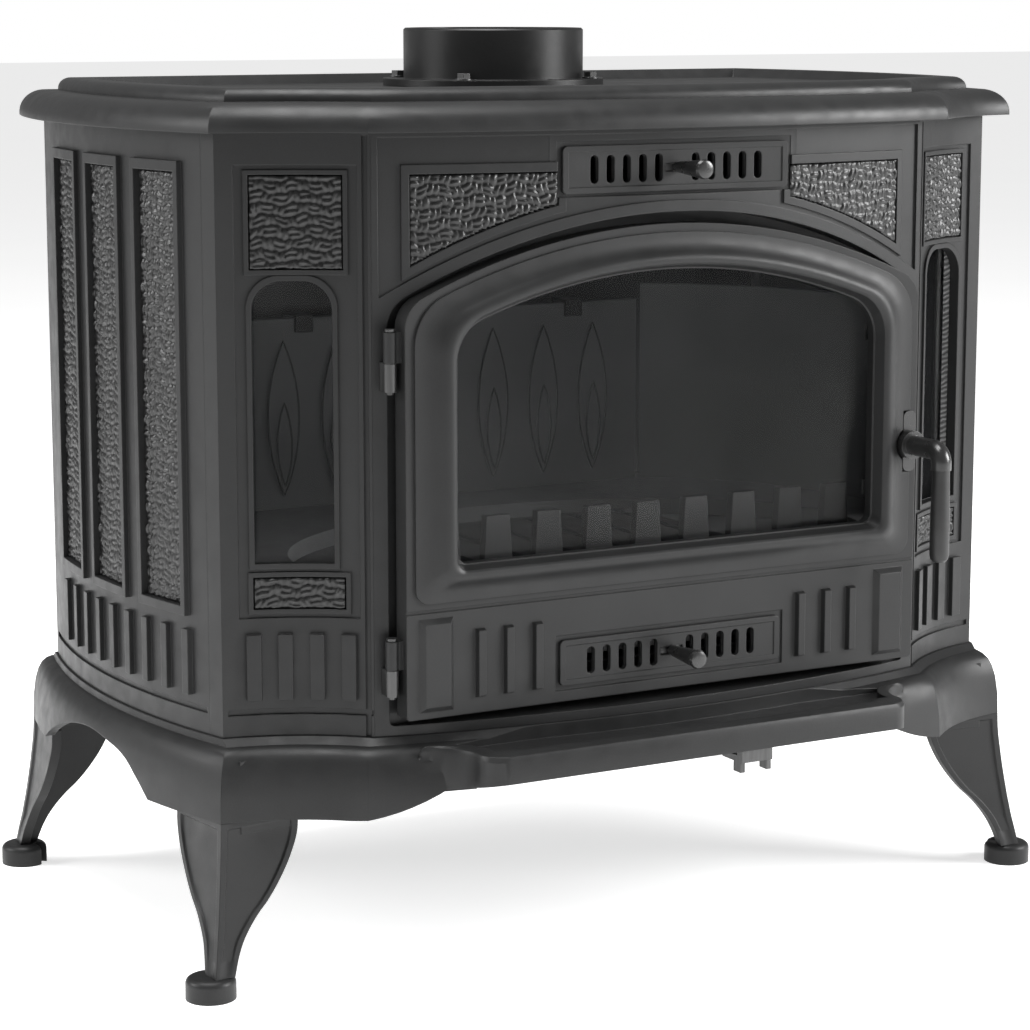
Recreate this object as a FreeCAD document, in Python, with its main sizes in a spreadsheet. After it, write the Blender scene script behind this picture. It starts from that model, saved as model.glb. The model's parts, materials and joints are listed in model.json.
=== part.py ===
"""Cast-iron wood burning stove: bowed front with an arched door, chamfered glazed corners, four legs.

Millimetres, +Z up, front towards -Y. The origin is on the floor, under the centre of the bounding box.
"""
import FreeCAD, Part
import Sketcher
import math
import os

from FreeCAD import Placement, Rotation, Vector

os.makedirs("parts", exist_ok=True)
doc = FreeCAD.newDocument("stove")

# --------------------------------------------------------------------------------------------------
# Driving dimensions
# --------------------------------------------------------------------------------------------------
DIMENSIONS = [
    # plan of the body, outer faces
    ("crease_x", 246.0), ("crease_y", -174.0), ("corner_x", 346.5), ("corner_y", -122.0),
    ("rear_x", 350.0), ("rear_y", 220.0), ("front_bow", 30.0), ("side_bow", 22.8),
    ("chamfer_bow", 9.0), ("wall", 8.0), ("side_seam_y", -107.0),
    # heights
    ("body_foot", 189.2), ("body_head", 638.5), ("deck_edge", 184.0), ("skirt_foot", 131.0),
    ("shoe_height", 17.0), ("tier_one", 659.5), ("tier_two", 669.5), ("basin", 662.0),
    ("total_height", 709.3),
    # overhangs of the base and of the top plate
    ("base_front", 24.0), ("base_chamfer", 26.0), ("base_side", 20.0), ("base_rear", 30.0),
    ("top_front", 21.6), ("top_side", 17.5), ("top_rear", 43.0), ("lip_front_y", -254.0),
    ("lip_half", 190.0), ("lip_foot", 162.0),
    # door opening and door
    ("opening_half", 235.0), ("opening_foot", 197.0), ("opening_arch_z", 115.0),
    ("opening_arch_r", 460.0), ("flange_y", -172.0), ("flange_thick", 7.0), ("flange_land", 29.0),
    ("door_half", 230.0), ("door_foot", 204.0), ("door_arch_z", 50.0), ("door_arch_r", 515.4),
    ("door_face_y", -195.6), ("door_rear_y", -179.0), ("glass_half", 187.0), ("glass_foot", 319.0),
    ("glass_arch_z", 60.6), ("glass_arch_r", 470.0), ("glass_thick", 4.0),
    ("hinge_x", -237.5), ("hinge_y", -186.0), ("hinge_pin_r", 2.5), ("knuckle_r", 5.0),
    ("running_gap", 0.05),
    # vents
    ("vent_width", 200.0), ("vent_height", 35.5), ("vent_thick", 3.0), ("slot_width", 7.0),
    ("slot_height", 21.0), ("slot_pitch", 14.1), ("slot_first", 16.3), ("upper_vent_z", 608.0),
    ("upper_vent_y", -199.3), ("lower_vent_z", 234.0), ("lower_vent_y", -197.1),
    ("knob_length", 40.0), ("knob_small_r", 4.0), ("knob_big_r", 7.5), ("slide_travel", 7.0),
    # handle
    ("handle_x", 221.0), ("handle_z", 380.0), ("spindle_r", 5.0), ("arm_r", 8.0), ("arm_reach", 47.0),
    ("grip_r", 7.8), ("grip_length", 74.0),
    # flue
    ("flue_y", 93.0), ("flue_r", 75.0), ("flue_wall", 6.0), ("flue_flange_r", 92.0),
    # hearth
    ("hearth_top", 300.0), ("hearth_floor_top", 286.0), ("bowl_a", 250.0), ("bowl_b", 178.0),
    ("bowl_y", -58.0), ("bar_pitch", 44.5), ("lining_top", 464.0), ("lining_y", 190.0),
    ("lining_half", 200.0), ("lining_thick", 7.0), ("baffle_foot", 540.0),
    # legs and feet
    ("shoe_r", 19.0), ("shoe_front_y", -149.0), ("shoe_rear_y", 257.0), ("shoe_x", 371.5),
    ("origin_shift_y", -11.0),
]
sizes = doc.addObject("Spreadsheet::Sheet", "sizes")
for row, (alias, value) in enumerate(DIMENSIONS, start=1):
    sizes.set("A%d" % row, alias)
    sizes.set("B%d" % row, str(value))
    sizes.setAlias("B%d" % row, alias)
doc.recompute()


def size(alias):
    """The value of one driving dimension."""
    return float(sizes.get(alias))


parts = []


def keep(obj, label):
    """Name an object as a finished sub-part."""
    obj.Label = label
    parts.append(obj)
    return obj


def feature(label, shape):
    """A sub-part whose shape is worked out with Part's own functions from the sheet."""
    obj = doc.addObject("Part::Feature", label)
    obj.Shape = shape
    obj.Placement = Placement()
    return keep(obj, label)


# --------------------------------------------------------------------------------------------------
# Plan outline: arcs and corners of the stove seen from above
# --------------------------------------------------------------------------------------------------
def arc_circle(start, end, bow):
    """Centre and radius of the circle whose arc from start to end bows by bow to the right."""
    chord = end - start
    half = chord.Length / 2
    right = Vector(chord.y, -chord.x, 0).normalize()
    radius = (half * half + bow * bow) / (2 * abs(bow))
    middle = (start + end) * 0.5
    centre = middle - right * math.copysign(radius - abs(bow), bow)
    return centre, radius


def meet(first, second, near):
    """The crossing of two circles, each (centre, radius), that lies nearest to a point."""
    (c1, r1), (c2, r2) = first, second
    gap = c2 - c1
    along = (r1 * r1 - r2 * r2 + gap.Length ** 2) / (2 * gap.Length)
    across = math.sqrt(max(r1 * r1 - along * along, 0))
    foot = c1 + gap * (along / gap.Length)
    normal = Vector(-gap.y, gap.x, 0).normalize()
    choices = [foot + normal * across, foot - normal * across]
    return min(choices, key=lambda point: (point - near).Length)


def toward(circle, point):
    """The point of a circle in the direction of a point."""
    centre, radius = circle
    return centre + (point - centre).normalize() * radius


CREASE = Vector(size("crease_x"), size("crease_y"), 0)
CORNER = Vector(size("corner_x"), size("corner_y"), 0)
REAR = Vector(size("rear_x"), size("rear_y"), 0)
FRONT_ARC = arc_circle(Vector(-CREASE.x, CREASE.y, 0), CREASE, size("front_bow"))
CHAMFER_ARC = arc_circle(CREASE, CORNER, -size("chamfer_bow"))
SIDE_ARC = arc_circle(CORNER, REAR, size("side_bow"))
CHAMFER_ALONG = (CREASE - CORNER).normalize()
CHAMFER_OUT = Vector(-CHAMFER_ALONG.y, CHAMFER_ALONG.x, 0)
if CHAMFER_OUT.y > 0:
    CHAMFER_OUT = CHAMFER_OUT * -1


def outline(front, chamfer, side, rear, height):
    """Closed wire of the plan, moved outward by the given amounts, at one height."""
    front_arc = (FRONT_ARC[0], FRONT_ARC[1] + front)
    chamfer_arc = (CHAMFER_ARC[0], CHAMFER_ARC[1] - chamfer)
    side_arc = (SIDE_ARC[0], SIDE_ARC[1] + side)
    crease = meet(front_arc, chamfer_arc, CREASE)
    corner = meet(chamfer_arc, side_arc, CORNER)
    rear_y = REAR.y + rear
    reach = rear_y - side_arc[0].y
    back = Vector(side_arc[0].x + math.sqrt(side_arc[1] ** 2 - reach ** 2), rear_y, 0)
    chamfer_mid = toward(chamfer_arc, (crease + corner) * 0.5)
    side_mid = toward(side_arc, (corner + back) * 0.5)
    front_mid = FRONT_ARC[0] - Vector(0, front_arc[1], 0)
    lift = Vector(0, 0, height)

    def left(point):
        return Vector(-point.x, point.y, 0) + lift

    edges = [
        Part.Arc(left(crease), front_mid + lift, crease + lift).toShape(),
        Part.Arc(crease + lift, chamfer_mid + lift, corner + lift).toShape(),
        Part.Arc(corner + lift, side_mid + lift, back + lift).toShape(),
        Part.LineSegment(back + lift, left(back)).toShape(),
        Part.Arc(left(back), left(side_mid), left(corner)).toShape(),
        Part.Arc(left(corner), left(chamfer_mid), left(crease)).toShape(),
    ]
    return Part.Wire(edges)


def slab(offset, foot, head, side=None, rear=None):
    """Solid of the plan moved outward by offset, between two heights."""
    side = offset if side is None else side
    rear = offset if rear is None else rear
    wire = outline(offset, offset, side, rear, foot)
    return Part.Face(wire).extrude(Vector(0, 0, head - foot))


def box(x0, x1, y0, y1, z0, z1):
    """Box between two corners."""
    return Part.makeBox(x1 - x0, y1 - y0, z1 - z0, Vector(x0, y0, z0))


def mirrored(shape):
    """The same shape on the other side of the stove."""
    return shape.mirror(Vector(0, 0, 0), Vector(1, 0, 0))


FOOT, HEAD = size("body_foot"), size("body_head")
BODY = slab(0, FOOT, HEAD)
SHELL = BODY.cut(slab(-size("wall"), FOOT - 1, HEAD + 1))
RELIEF = 4.0
RAISED = slab(RELIEF, FOOT, HEAD)
SUNK = slab(-2.0, FOOT, HEAD)


def raise_from(region):
    """The part of a region that stands proud of the body's outer face."""
    return region.common(RAISED).cut(slab(-1.0, FOOT, HEAD))


def sink_into(region):
    """The part of a region to cut away for a shallow recess in the outer face."""
    return region.cut(SUNK)


def chamfer_prism(s0, s1, z0, z1, out=30.0, inward=40.0):
    """Box on the right chamfer: s runs from the side corner towards the front crease."""
    start = CORNER + CHAMFER_ALONG * s0 - CHAMFER_OUT * inward + Vector(0, 0, z0)
    corners = [
        start,
        start + CHAMFER_ALONG * (s1 - s0),
        start + CHAMFER_ALONG * (s1 - s0) + CHAMFER_OUT * (out + inward),
        start + CHAMFER_OUT * (out + inward),
    ]
    wire = Part.makePolygon(corners + [corners[0]])
    return Part.Face(wire).extrude(Vector(0, 0, z1 - z0))


def rim(outer, inner):
    """A raised border between two regions."""
    return outer.cut(inner)


# --------------------------------------------------------------------------------------------------
# Arched outlines seen from the front
# --------------------------------------------------------------------------------------------------
def arched(half, foot, arch_z, arch_r, y0, y1, top_radius, foot_radius=0.0, shift=0.0):
    """Solid with vertical sides and an arched top, between two depths; shift grows it all round."""
    half, foot, arch_r = half + shift, foot - shift, arch_r + shift
    shoulder = arch_z + math.sqrt(arch_r ** 2 - half ** 2)
    left_foot, right_foot = Vector(-half, y0, foot), Vector(half, y0, foot)
    left_top, right_top = Vector(-half, y0, shoulder), Vector(half, y0, shoulder)
    wire = Part.Wire([
        Part.LineSegment(left_foot, right_foot).toShape(),
        Part.LineSegment(right_foot, right_top).toShape(),
        Part.Arc(right_top, Vector(0, y0, arch_z + arch_r), left_top).toShape(),
        Part.LineSegment(left_top, left_foot).toShape(),
    ])
    solid = Part.Face(wire).extrude(Vector(0, y1 - y0, 0))
    for radius, level in ((top_radius, shoulder), (foot_radius, foot)):
        if radius <= 0:
            continue
        edges = []
        for edge in solid.Edges:
            ends = [vertex.Point for vertex in edge.Vertexes]
            along_y = len(ends) == 2 and abs(abs(ends[0].y - ends[1].y) - abs(y1 - y0)) < 1e-6
            if along_y and abs(ends[0].z - level) < 1e-6:
                edges.append(edge)
        solid = solid.makeFillet(radius, edges)
    return solid


def opening(shift, y0, y1):
    """The arched door opening in the front frame."""
    return arched(size("opening_half"), size("opening_foot"), size("opening_arch_z"),
                  size("opening_arch_r"), y0, y1, 28.0, 4.0 + max(shift, 0), shift)


def door_outline(shift, y0, y1):
    """The door's own outline."""
    return arched(size("door_half"), size("door_foot"), size("door_arch_z"), size("door_arch_r"),
                  y0, y1, 25.0, 3.0, shift)


def window(shift, y0, y1):
    """The glazed opening of the door."""
    return arched(size("glass_half"), size("glass_foot"), size("glass_arch_z"),
                  size("glass_arch_r"), y0, y1, 34.0 + shift, 8.0 + shift, shift)


def ring_solid(wires):
    """Closed ring whose cross-section runs through the given wires, back to the first."""
    faces = []
    for first, second in zip(wires, wires[1:] + wires[:1]):
        faces += Part.makeLoft([first, second], False, True).Faces
    return Part.Solid(Part.Shell(faces))


# --------------------------------------------------------------------------------------------------
# Base, legs and shoes
# --------------------------------------------------------------------------------------------------
BASE_OUT = (size("base_front"), size("base_chamfer"), size("base_side"), size("base_rear"))
DECK, SKIRT_FOOT = size("deck_edge"), size("skirt_foot")
TIE_RODS = [Vector(x, y, 0) for y, half in ((-96.0, 326.0), (190.0, 330.0)) for x in (-half, half)]


def lip_wire(height, shift=0.0):
    """Plan of the ash lip: two hollow flanks, rounded front corners and a straight front."""
    half, front = size("lip_half") + shift, size("lip_front_y") - shift
    root = Vector(half + 32, -198.0, height)
    flank = Vector(half + 14, -206.0, height)
    cheek = Vector(half + 1.5, -236.0, height)
    corner = Vector(half - 4, front + 6, height)
    nose = Vector(half - 16, front, height)

    def left(point):
        return Vector(-point.x, point.y, point.z)

    return Part.Wire([
        Part.Arc(root, flank, cheek).toShape(),
        Part.Arc(cheek, corner, nose).toShape(),
        Part.LineSegment(nose, left(nose)).toShape(),
        Part.Arc(left(nose), left(corner), left(cheek)).toShape(),
        Part.Arc(left(cheek), left(flank), left(root)).toShape(),
        Part.LineSegment(left(root), root).toShape(),
    ])


def arch_cut(start, crown, end, thrust):
    """Solid below an arch, to cut the curved lower edge of the skirt."""
    low = 100.0
    foot_start = Vector(start.x, start.y, low)
    foot_end = Vector(end.x, end.y, low)
    wire = Part.Wire([
        Part.Arc(start, crown, end).toShape(),
        Part.LineSegment(end, foot_end).toShape(),
        Part.LineSegment(foot_end, foot_start).toShape(),
        Part.LineSegment(foot_start, start).toShape(),
    ])
    return Part.Face(wire).extrude(thrust)


# outward shift and height of the sections of the skirt, and of the hollow under the deck
SKIRT = [(0, SKIRT_FOOT), (-0.5, 148.0), (-2.5, 163.0), (-5.0, 172.0), (-8.0, 178.0), (-12.0, 182.0),
         (-16.0, DECK)]
HOLLOW = [(-8.0, 100.0), (-8.0, SKIRT_FOOT), (-10.5, 163.0), (-16.0, DECK - 8.0)]


def base_loft(sections, shift=0.0, drop=0.0):
    """Solid through plans of the base; shift moves every section, drop lowers the last one."""
    heights = [height for grow, height in sections]
    heights[-1] -= drop
    wires = [outline(*[out + grow + shift for out in BASE_OUT], height)
             for (grow, old), height in zip(sections, heights)]
    return Part.makeLoft(wires, True, True)


def make_base():
    """Flared skirt, sloping deck and ash lip, hollow below, with arched lower edges."""
    rolled = [(0, SKIRT_FOOT), (0, DECK - 5.0), (-1.5, DECK - 1.5), (-5.0, DECK)]
    skirt = base_loft(SKIRT)
    lip = Part.makeLoft([lip_wire(z, shift) for shift, z in rolled], True, True)
    crown = 150.0
    rise = size("lip_foot") - crown
    underside = Part.makePolygon([
        Vector(-300, -202, crown), Vector(-300, size("lip_front_y"), crown + rise),
        Vector(-300, -300, crown + rise), Vector(-300, -300, 100), Vector(-300, -202, 100),
        Vector(-300, -202, crown),
    ])
    lip = lip.cut(Part.Face(underside).extrude(Vector(600, 0, 0)))
    solid = skirt.fuse(lip)
    seat = Part.makeLoft([outline(*[out - 17.0 for out in BASE_OUT], DECK - 0.5),
                          outline(2, 2, 2, 2, FOOT)], True, True)
    solid = solid.fuse(seat)
    hollow = base_loft(HOLLOW)
    hollow = hollow.fuse(box(-180, 180, -244, -180, 100, DECK - 14))
    pocket = Part.Face(lip_wire(DECK - 6.0, -13.0)).extrude(Vector(0, 0, 20))
    pocket = pocket.cut(slab(1.0, DECK - 10, DECK + 20))
    pocket = pocket.cut(box(-400, 400, -150, 0, 0, 300))
    solid = solid.cut(hollow).cut(pocket)
    front_cut = Part.Face(Part.Wire([
        Part.Arc(Vector(-272, -300, SKIRT_FOOT), Vector(-238, -300, 137), Vector(-205, -300, crown)).toShape(),
        Part.LineSegment(Vector(-205, -300, crown), Vector(205, -300, crown)).toShape(),
        Part.Arc(Vector(205, -300, crown), Vector(238, -300, 137), Vector(272, -300, SKIRT_FOOT)).toShape(),
        Part.LineSegment(Vector(272, -300, SKIRT_FOOT), Vector(272, -300, 100)).toShape(),
        Part.LineSegment(Vector(272, -300, 100), Vector(-272, -300, 100)).toShape(),
        Part.LineSegment(Vector(-272, -300, 100), Vector(-272, -300, SKIRT_FOOT)).toShape(),
    ])).extrude(Vector(0, 150, 0))
    arch = Part.BSplineCurve()
    arch.interpolate([Vector(-420, y, z) for y, z in (
        (-56, SKIRT_FOOT), (-40, 144), (-20, 156), (14, 163.5), (45, 166), (93, 160), (130, 149), (170, SKIRT_FOOT))])
    side_cut = Part.Face(Part.Wire([
        arch.toShape(),
        Part.LineSegment(Vector(-420, 170, SKIRT_FOOT), Vector(-420, 170, 100)).toShape(),
        Part.LineSegment(Vector(-420, 170, 100), Vector(-420, -56, 100)).toShape(),
        Part.LineSegment(Vector(-420, -56, 100), Vector(-420, -56, SKIRT_FOOT)).toShape(),
    ])).extrude(Vector(840, 0, 0))
    rear_cut = arch_cut(Vector(-290, 200, 130), Vector(0, 200, 150), Vector(290, 200, 130),
                        Vector(0, 80, 0))
    solid = solid.cut(front_cut).cut(side_cut).cut(rear_cut)
    for place in TIE_RODS:
        solid = solid.cut(Part.makeCylinder(5.0, 40, place + Vector(0, 0, 160)))
    return solid


feature("base", make_base())


FRONT_RIDGE = meet((CHAMFER_ARC[0], CHAMFER_ARC[1] - BASE_OUT[1]),
                   (SIDE_ARC[0], SIDE_ARC[1] + BASE_OUT[2]), CORNER)
rear_reach = REAR.y + BASE_OUT[3] - SIDE_ARC[0].y
REAR_RIDGE = Vector(SIDE_ARC[0].x + math.sqrt((SIDE_ARC[1] + BASE_OUT[2]) ** 2 - rear_reach ** 2),
                    REAR.y + BASE_OUT[3], 0)
LEG_THICK = 8.0
# height, outward drift of the ridge, length of both wings
LEG_STATIONS = [
    (130.8, 0.0, 66.5), (116.0, 0.8, 66.0), (101.0, 2.8, 61.5), (84.0, 5.5, 53.0), (67.0, 8.7, 41.0),
    (59.0, 10.3, 33.5), (50.0, 12.4, 27.0), (42.0, 14.2, 22.5), (33.0, 16.8, 19.5), (17.0, 21.0, 16.5),
]


def leg_section(corner, side_way, other_way, drift, wing, height):
    """L-shaped section of a leg at one height."""
    outward = -(side_way + other_way).normalize()
    ridge = corner + outward * drift + Vector(0, 0, height)
    points = [
        ridge,
        ridge + side_way * wing,
        ridge + side_way * wing + other_way * LEG_THICK,
        ridge + (side_way + other_way) * LEG_THICK,
        ridge + other_way * wing + side_way * LEG_THICK,
        ridge + other_way * wing,
    ]
    return Part.makePolygon(points + [points[0]])


def make_leg(corner, side_way, other_way):
    """Cabriole leg of two tapering wings, with a tongue that bolts up under the deck."""
    side_way = side_way.normalize()
    other_way = other_way.normalize()
    wires = [leg_section(corner, side_way, other_way, drift, wing, height)
             for height, drift, wing in LEG_STATIONS]
    leg = Part.makeLoft(wires, True, False)
    under_deck = base_loft(HOLLOW, -0.4, 0.2)
    head = HOLLOW[-1][1] - 0.2
    post = Part.Face(leg_section(corner, side_way, other_way, 0.0, 66.0, 117.0))
    post = post.extrude(Vector(0, 0, head - 117.0)).common(under_deck)
    reach = 50.0
    zone = Part.makePolygon([
        corner, corner + side_way * reach, corner + (side_way + other_way) * reach,
        corner + other_way * reach, corner,
    ])
    zone = Part.Face(zone).extrude(Vector(0, 0, head))
    plate = zone.common(under_deck).cut(box(-500, 500, -400, 400, 0, head - 8))
    leg = leg.fuse([post, plate]).removeSplitter()
    for place in TIE_RODS:
        leg = leg.cut(Part.makeCylinder(11.0, 60, place + Vector(0, 0, 140)))
    return max(leg.Solids, key=lambda solid: solid.Volume)


LEFT_FRONT_RIDGE = Vector(-FRONT_RIDGE.x, FRONT_RIDGE.y, 0)
LEFT_REAR_RIDGE = Vector(-REAR_RIDGE.x, REAR_RIDGE.y, 0)
front_leg = make_leg(LEFT_FRONT_RIDGE, Vector(-0.113, 0.993, 0), Vector(0.993, 0.113, 0))
rear_leg = make_leg(LEFT_REAR_RIDGE, Vector(-0.113, -0.993, 0), Vector(0.993, -0.113, 0))
feature("leg_front_left", front_leg)
feature("leg_front_right", mirrored(front_leg))
feature("leg_rear_left", rear_leg)
feature("leg_rear_right", mirrored(rear_leg))


def leg_bolt(place):
    """Hexagon bolt, head down, into the deck."""
    shank = Part.makeCylinder(4.0, 13.0, place + Vector(0, 0, 167))
    ring = [place + Vector(7.5 * math.cos(a), 7.5 * math.sin(a), 162.8)
            for a in [math.radians(60 * k) for k in range(7)]]
    return shank.fuse(Part.Face(Part.makePolygon(ring)).extrude(Vector(0, 0, 5)))


def hexagon(place, across, height):
    """Hexagonal prism standing on a point."""
    ring = [place + Vector(across / 1.732 * math.cos(math.radians(60 * k)),
                           across / 1.732 * math.sin(math.radians(60 * k)), 0) for k in range(7)]
    return Part.Face(Part.makePolygon(ring)).extrude(Vector(0, 0, height))


def hex_nut(place, across, height, bore):
    """Hexagon nut standing on a point."""
    hole = Part.makeCylinder(bore, height + 2, place - Vector(0, 0, 1))
    return hexagon(place, across, height).cut(hole)


bolt_places = []
for ridge, inward in ((FRONT_RIDGE, Vector(-22, 26, 0)), (REAR_RIDGE, Vector(-24, -24, 0))):
    place = ridge + inward
    bolt_places += [place, Vector(-place.x, place.y, 0)]
for place in bolt_places:
    hole = Part.makeCylinder(4.0, 41, place + Vector(0, 0, 140))
    for sub_part in parts:
        if sub_part.Label == "base" or sub_part.Label.startswith("leg_"):
            sub_part.Shape = sub_part.Shape.cut(hole)
feature("leg_bolts", Part.makeCompound([leg_bolt(place) for place in bolt_places]))


# --------------------------------------------------------------------------------------------------
# Bound sketches for turned and plate-like sub-parts
# --------------------------------------------------------------------------------------------------
def new_body(label):
    """An empty PartDesign body."""
    body = doc.addObject("PartDesign::Body", label)
    body.Label = label
    return body


def origin_plane(body, role):
    """One of a body's own origin planes."""
    return [item for item in body.Origin.OriginFeatures if item.Role == role][0]


def new_sketch(body, role, name):
    """A sketch on one of the body's origin planes."""
    sketch = body.newObject("Sketcher::SketchObject", name)
    sketch.AttachmentSupport = (origin_plane(body, role), [""])
    sketch.MapMode = "FlatFace"
    return sketch


def hold(sketch, element, vertex, x_rule, y_rule):
    """Hold a vertex at two distances from the sketch origin, each bound to an expression."""
    for kind, rule, axis in (("DistanceX", x_rule, -2), ("DistanceY", y_rule, -1)):
        value = sizes.evalExpression(rule)
        if abs(value) < 1e-9:
            sketch.addConstraint(Sketcher.Constraint("PointOnObject", element, vertex, axis))
        else:
            index = sketch.addConstraint(Sketcher.Constraint(kind, -1, 1, element, vertex, value))
            sketch.setExpression("Constraints[%d]" % index, rule)


def polygon_sketch(body, role, name, corners):
    """Closed outline of straight lines through corners given as expressions."""
    sketch = new_sketch(body, role, name)
    points = [Vector(sizes.evalExpression(x), sizes.evalExpression(y), 0) for x, y in corners]
    count = len(points)
    for index in range(count):
        sketch.addGeometry(Part.LineSegment(points[index], points[(index + 1) % count]), False)
    for index in range(count):
        sketch.addConstraint(Sketcher.Constraint("Coincident", index, 2, (index + 1) % count, 1))
    for index, (x_rule, y_rule) in enumerate(corners):
        hold(sketch, index, 1, x_rule, y_rule)
    return sketch


def turned(label, corners, place, rotation=Rotation()):
    """Body of revolution: corners are (radius, height) rules, turned about the sketch's vertical."""
    body = new_body(label)
    sketch = polygon_sketch(body, "XY_Plane", label + "_profile", corners)
    turn = body.newObject("PartDesign::Revolution", label + "_turn")
    turn.Profile = sketch
    turn.ReferenceAxis = (sketch, ["V_Axis"])
    turn.Angle = 360.0
    sketch.Visibility = False
    body.Placement = Placement(place, rotation)
    return keep(body, label)


UPRIGHT = Rotation(Vector(1, 0, 0), 90)


def shoe(label, side, y_rule, notch_turn):
    """Round cast shoe under a leg, with a rounded crown and a notch facing the stove's middle."""
    body = new_body(label)
    disc = new_sketch(body, "XY_Plane", label + "_disc")
    disc.addGeometry(Part.Circle(Vector(0, 0, 0), Vector(0, 0, 1), size("shoe_r")), False)
    disc.addConstraint(Sketcher.Constraint("Coincident", 0, 3, -1, 1))
    index = disc.addConstraint(Sketcher.Constraint("Radius", 0, size("shoe_r")))
    disc.setExpression("Constraints[%d]" % index, "sizes.shoe_r")
    pad = body.newObject("PartDesign::Pad", label + "_pad")
    pad.Profile = disc
    pad.setExpression("Length", "sizes.shoe_height")
    notch = polygon_sketch(body, "XY_Plane", label + "_notch", [
        ("sizes.shoe_r * 0.5", "-sizes.shoe_r * 0.2"), ("sizes.shoe_r * 1.2", "-sizes.shoe_r * 0.3"),
        ("sizes.shoe_r * 1.2", "sizes.shoe_r * 0.3"), ("sizes.shoe_r * 0.5", "sizes.shoe_r * 0.2")])
    pocket = body.newObject("PartDesign::Pocket", label + "_slot")
    pocket.Profile = notch
    pocket.Type = "ThroughAll"
    pocket.Reversed = True
    doc.recompute()
    crown = body.newObject("PartDesign::Fillet", label + "_crown")
    edges = []
    for number, edge in enumerate(pocket.Shape.Edges, start=1):
        round_edge = isinstance(edge.Curve, Part.Circle) and abs(edge.CenterOfMass.z - size("shoe_height")) < 1e-6
        if round_edge:
            edges.append("Edge%d" % number)
    crown.Base = (pocket, edges)
    crown.setExpression("Radius", "sizes.shoe_height * 0.3")
    body.setExpression("Placement.Base.x", "%d * sizes.shoe_x" % side)
    body.setExpression("Placement.Base.y", y_rule)
    body.Placement = Placement(Vector(side * size("shoe_x"), sizes.evalExpression(y_rule), 0),
                               Rotation(Vector(0, 0, 1), notch_turn))
    return keep(body, label)


shoe("shoe_front_left", -1, "sizes.shoe_front_y", 50)
shoe("shoe_front_right", 1, "sizes.shoe_front_y", 130)
shoe("shoe_rear_left", -1, "sizes.shoe_rear_y", -45)
shoe("shoe_rear_right", 1, "sizes.shoe_rear_y", 225)


# --------------------------------------------------------------------------------------------------
# Body castings: front frame, corner panels, side panels, back
# --------------------------------------------------------------------------------------------------
CREASE_X, SEAM_Y = size("crease_x"), size("side_seam_y")


def front_cylinder(centre_z, radius):
    """Solid disc facing the front, to bound an arched band."""
    return Part.makeCylinder(radius, 200, Vector(0, -300, centre_z), Vector(0, 1, 0))


def make_front_frame():
    """Header with arch and spandrels, stiles, sill, and the rebate that the door closes on."""
    front_zone = box(-CREASE_X, CREASE_X, -300, -100, FOOT, HEAD)
    frame = SHELL.common(front_zone)
    flange_rear = size("flange_y") + size("flange_thick")
    rebate = opening(7.0, -230, flange_rear).common(BODY).common(front_zone)
    frame = frame.fuse(rebate)
    frame = frame.cut(opening(0.0, -300, size("flange_y")))
    frame = frame.cut(opening(-size("flange_land"), -300, -100))
    low_arch, high_arch, rim_arch = [front_cylinder(z, radius) for z, radius in (
        (110.0, 473.5), (128.0, 460.0), (128.0, 466.0))]
    field = box(-241, 241, -300, -150, 500, 634.5).cut(low_arch)
    vent_top = size("upper_vent_z") + 21.5
    for side in (-1, 1):
        x0, x1 = sorted((side * 97.0, side * 224.0))
        outer = box(x0, x1, -300, -150, 500, 614.5).cut(high_arch)
        inner = box(x0 + 6, x1 - 6, -300, -150, 500, 607.5).cut(rim_arch)
        field = field.cut(outer).fuse(inner)
    frame = frame.cut(sink_into(field))
    vent_z = size("upper_vent_z")
    floor_y = size("upper_vent_y") + size("vent_thick")
    frame = frame.fuse(box(-110, 110, floor_y, floor_y + 7, vent_z - 26, vent_z + 27))
    frame = frame.cut(box(-104, 104, -300, floor_y, vent_z - 20, vent_top))
    return frame.cut(box(-92, 92, -300, -150, vent_z - 15, vent_z + 15))


front_frame = make_front_frame()
feature("front_frame", front_frame)
BAR_FOOT, BAR_HEAD = 217.0, 267.0


def corner_window(shift, deep_in=40.0, deep_out=30.0):
    """Arched opening of the chamfered corner panel, on the right side."""
    block = chamfer_prism(25.0 - shift, 84.0 + shift, 320.0 - shift, 530.0 + shift, deep_out, deep_in)
    edges = []
    for edge in block.Edges:
        ends = [vertex.Point for vertex in edge.Vertexes]
        level = abs(ends[0].z - ends[1].z) < 1e-6 and abs(ends[0].z - 530.0 - shift) < 1e-6
        if level and abs(edge.Length - deep_in - deep_out) < 1e-6:
            edges.append(edge)
    return block.makeFillet(22.0 + shift * 0.5, edges)


def make_corner_panel():
    """Concave casting of the right front corner, with its window, woven fields and bars."""
    zone = box(CREASE_X, 420, -300, SEAM_Y, FOOT, HEAD)
    panel = SHELL.common(zone)
    field = chamfer_prism(13.0, 103.0, 279.0, 614.5)
    frames = [(20.0, 96.0, 534.5, 611.0), (20.0, 96.0, 282.0, 313.5)]
    for s0, s1, z0, z1 in frames:
        field = field.cut(chamfer_prism(s0, s1, z0, z1)).fuse(chamfer_prism(s0 + 3.5, s1 - 3.5, z0 + 3.5, z1 - 3.5))
    field = field.cut(rim(corner_window(4.0), corner_window(-3.0)))
    grooves = chamfer_prism(4.0, 112.0, 205.5, 210.0).fuse(chamfer_prism(106.5, 110.5, FOOT, 636.0))
    panel = panel.cut(sink_into(field)).cut(sink_into(grooves)).cut(corner_window(0.0))
    bars = [chamfer_prism(s - 5.4, s + 5.4, BAR_FOOT, BAR_HEAD) for s in (23.8, 47.0, 70.5, 94.0)]
    return panel.fuse([raise_from(bar) for bar in bars]).common(zone)


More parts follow.
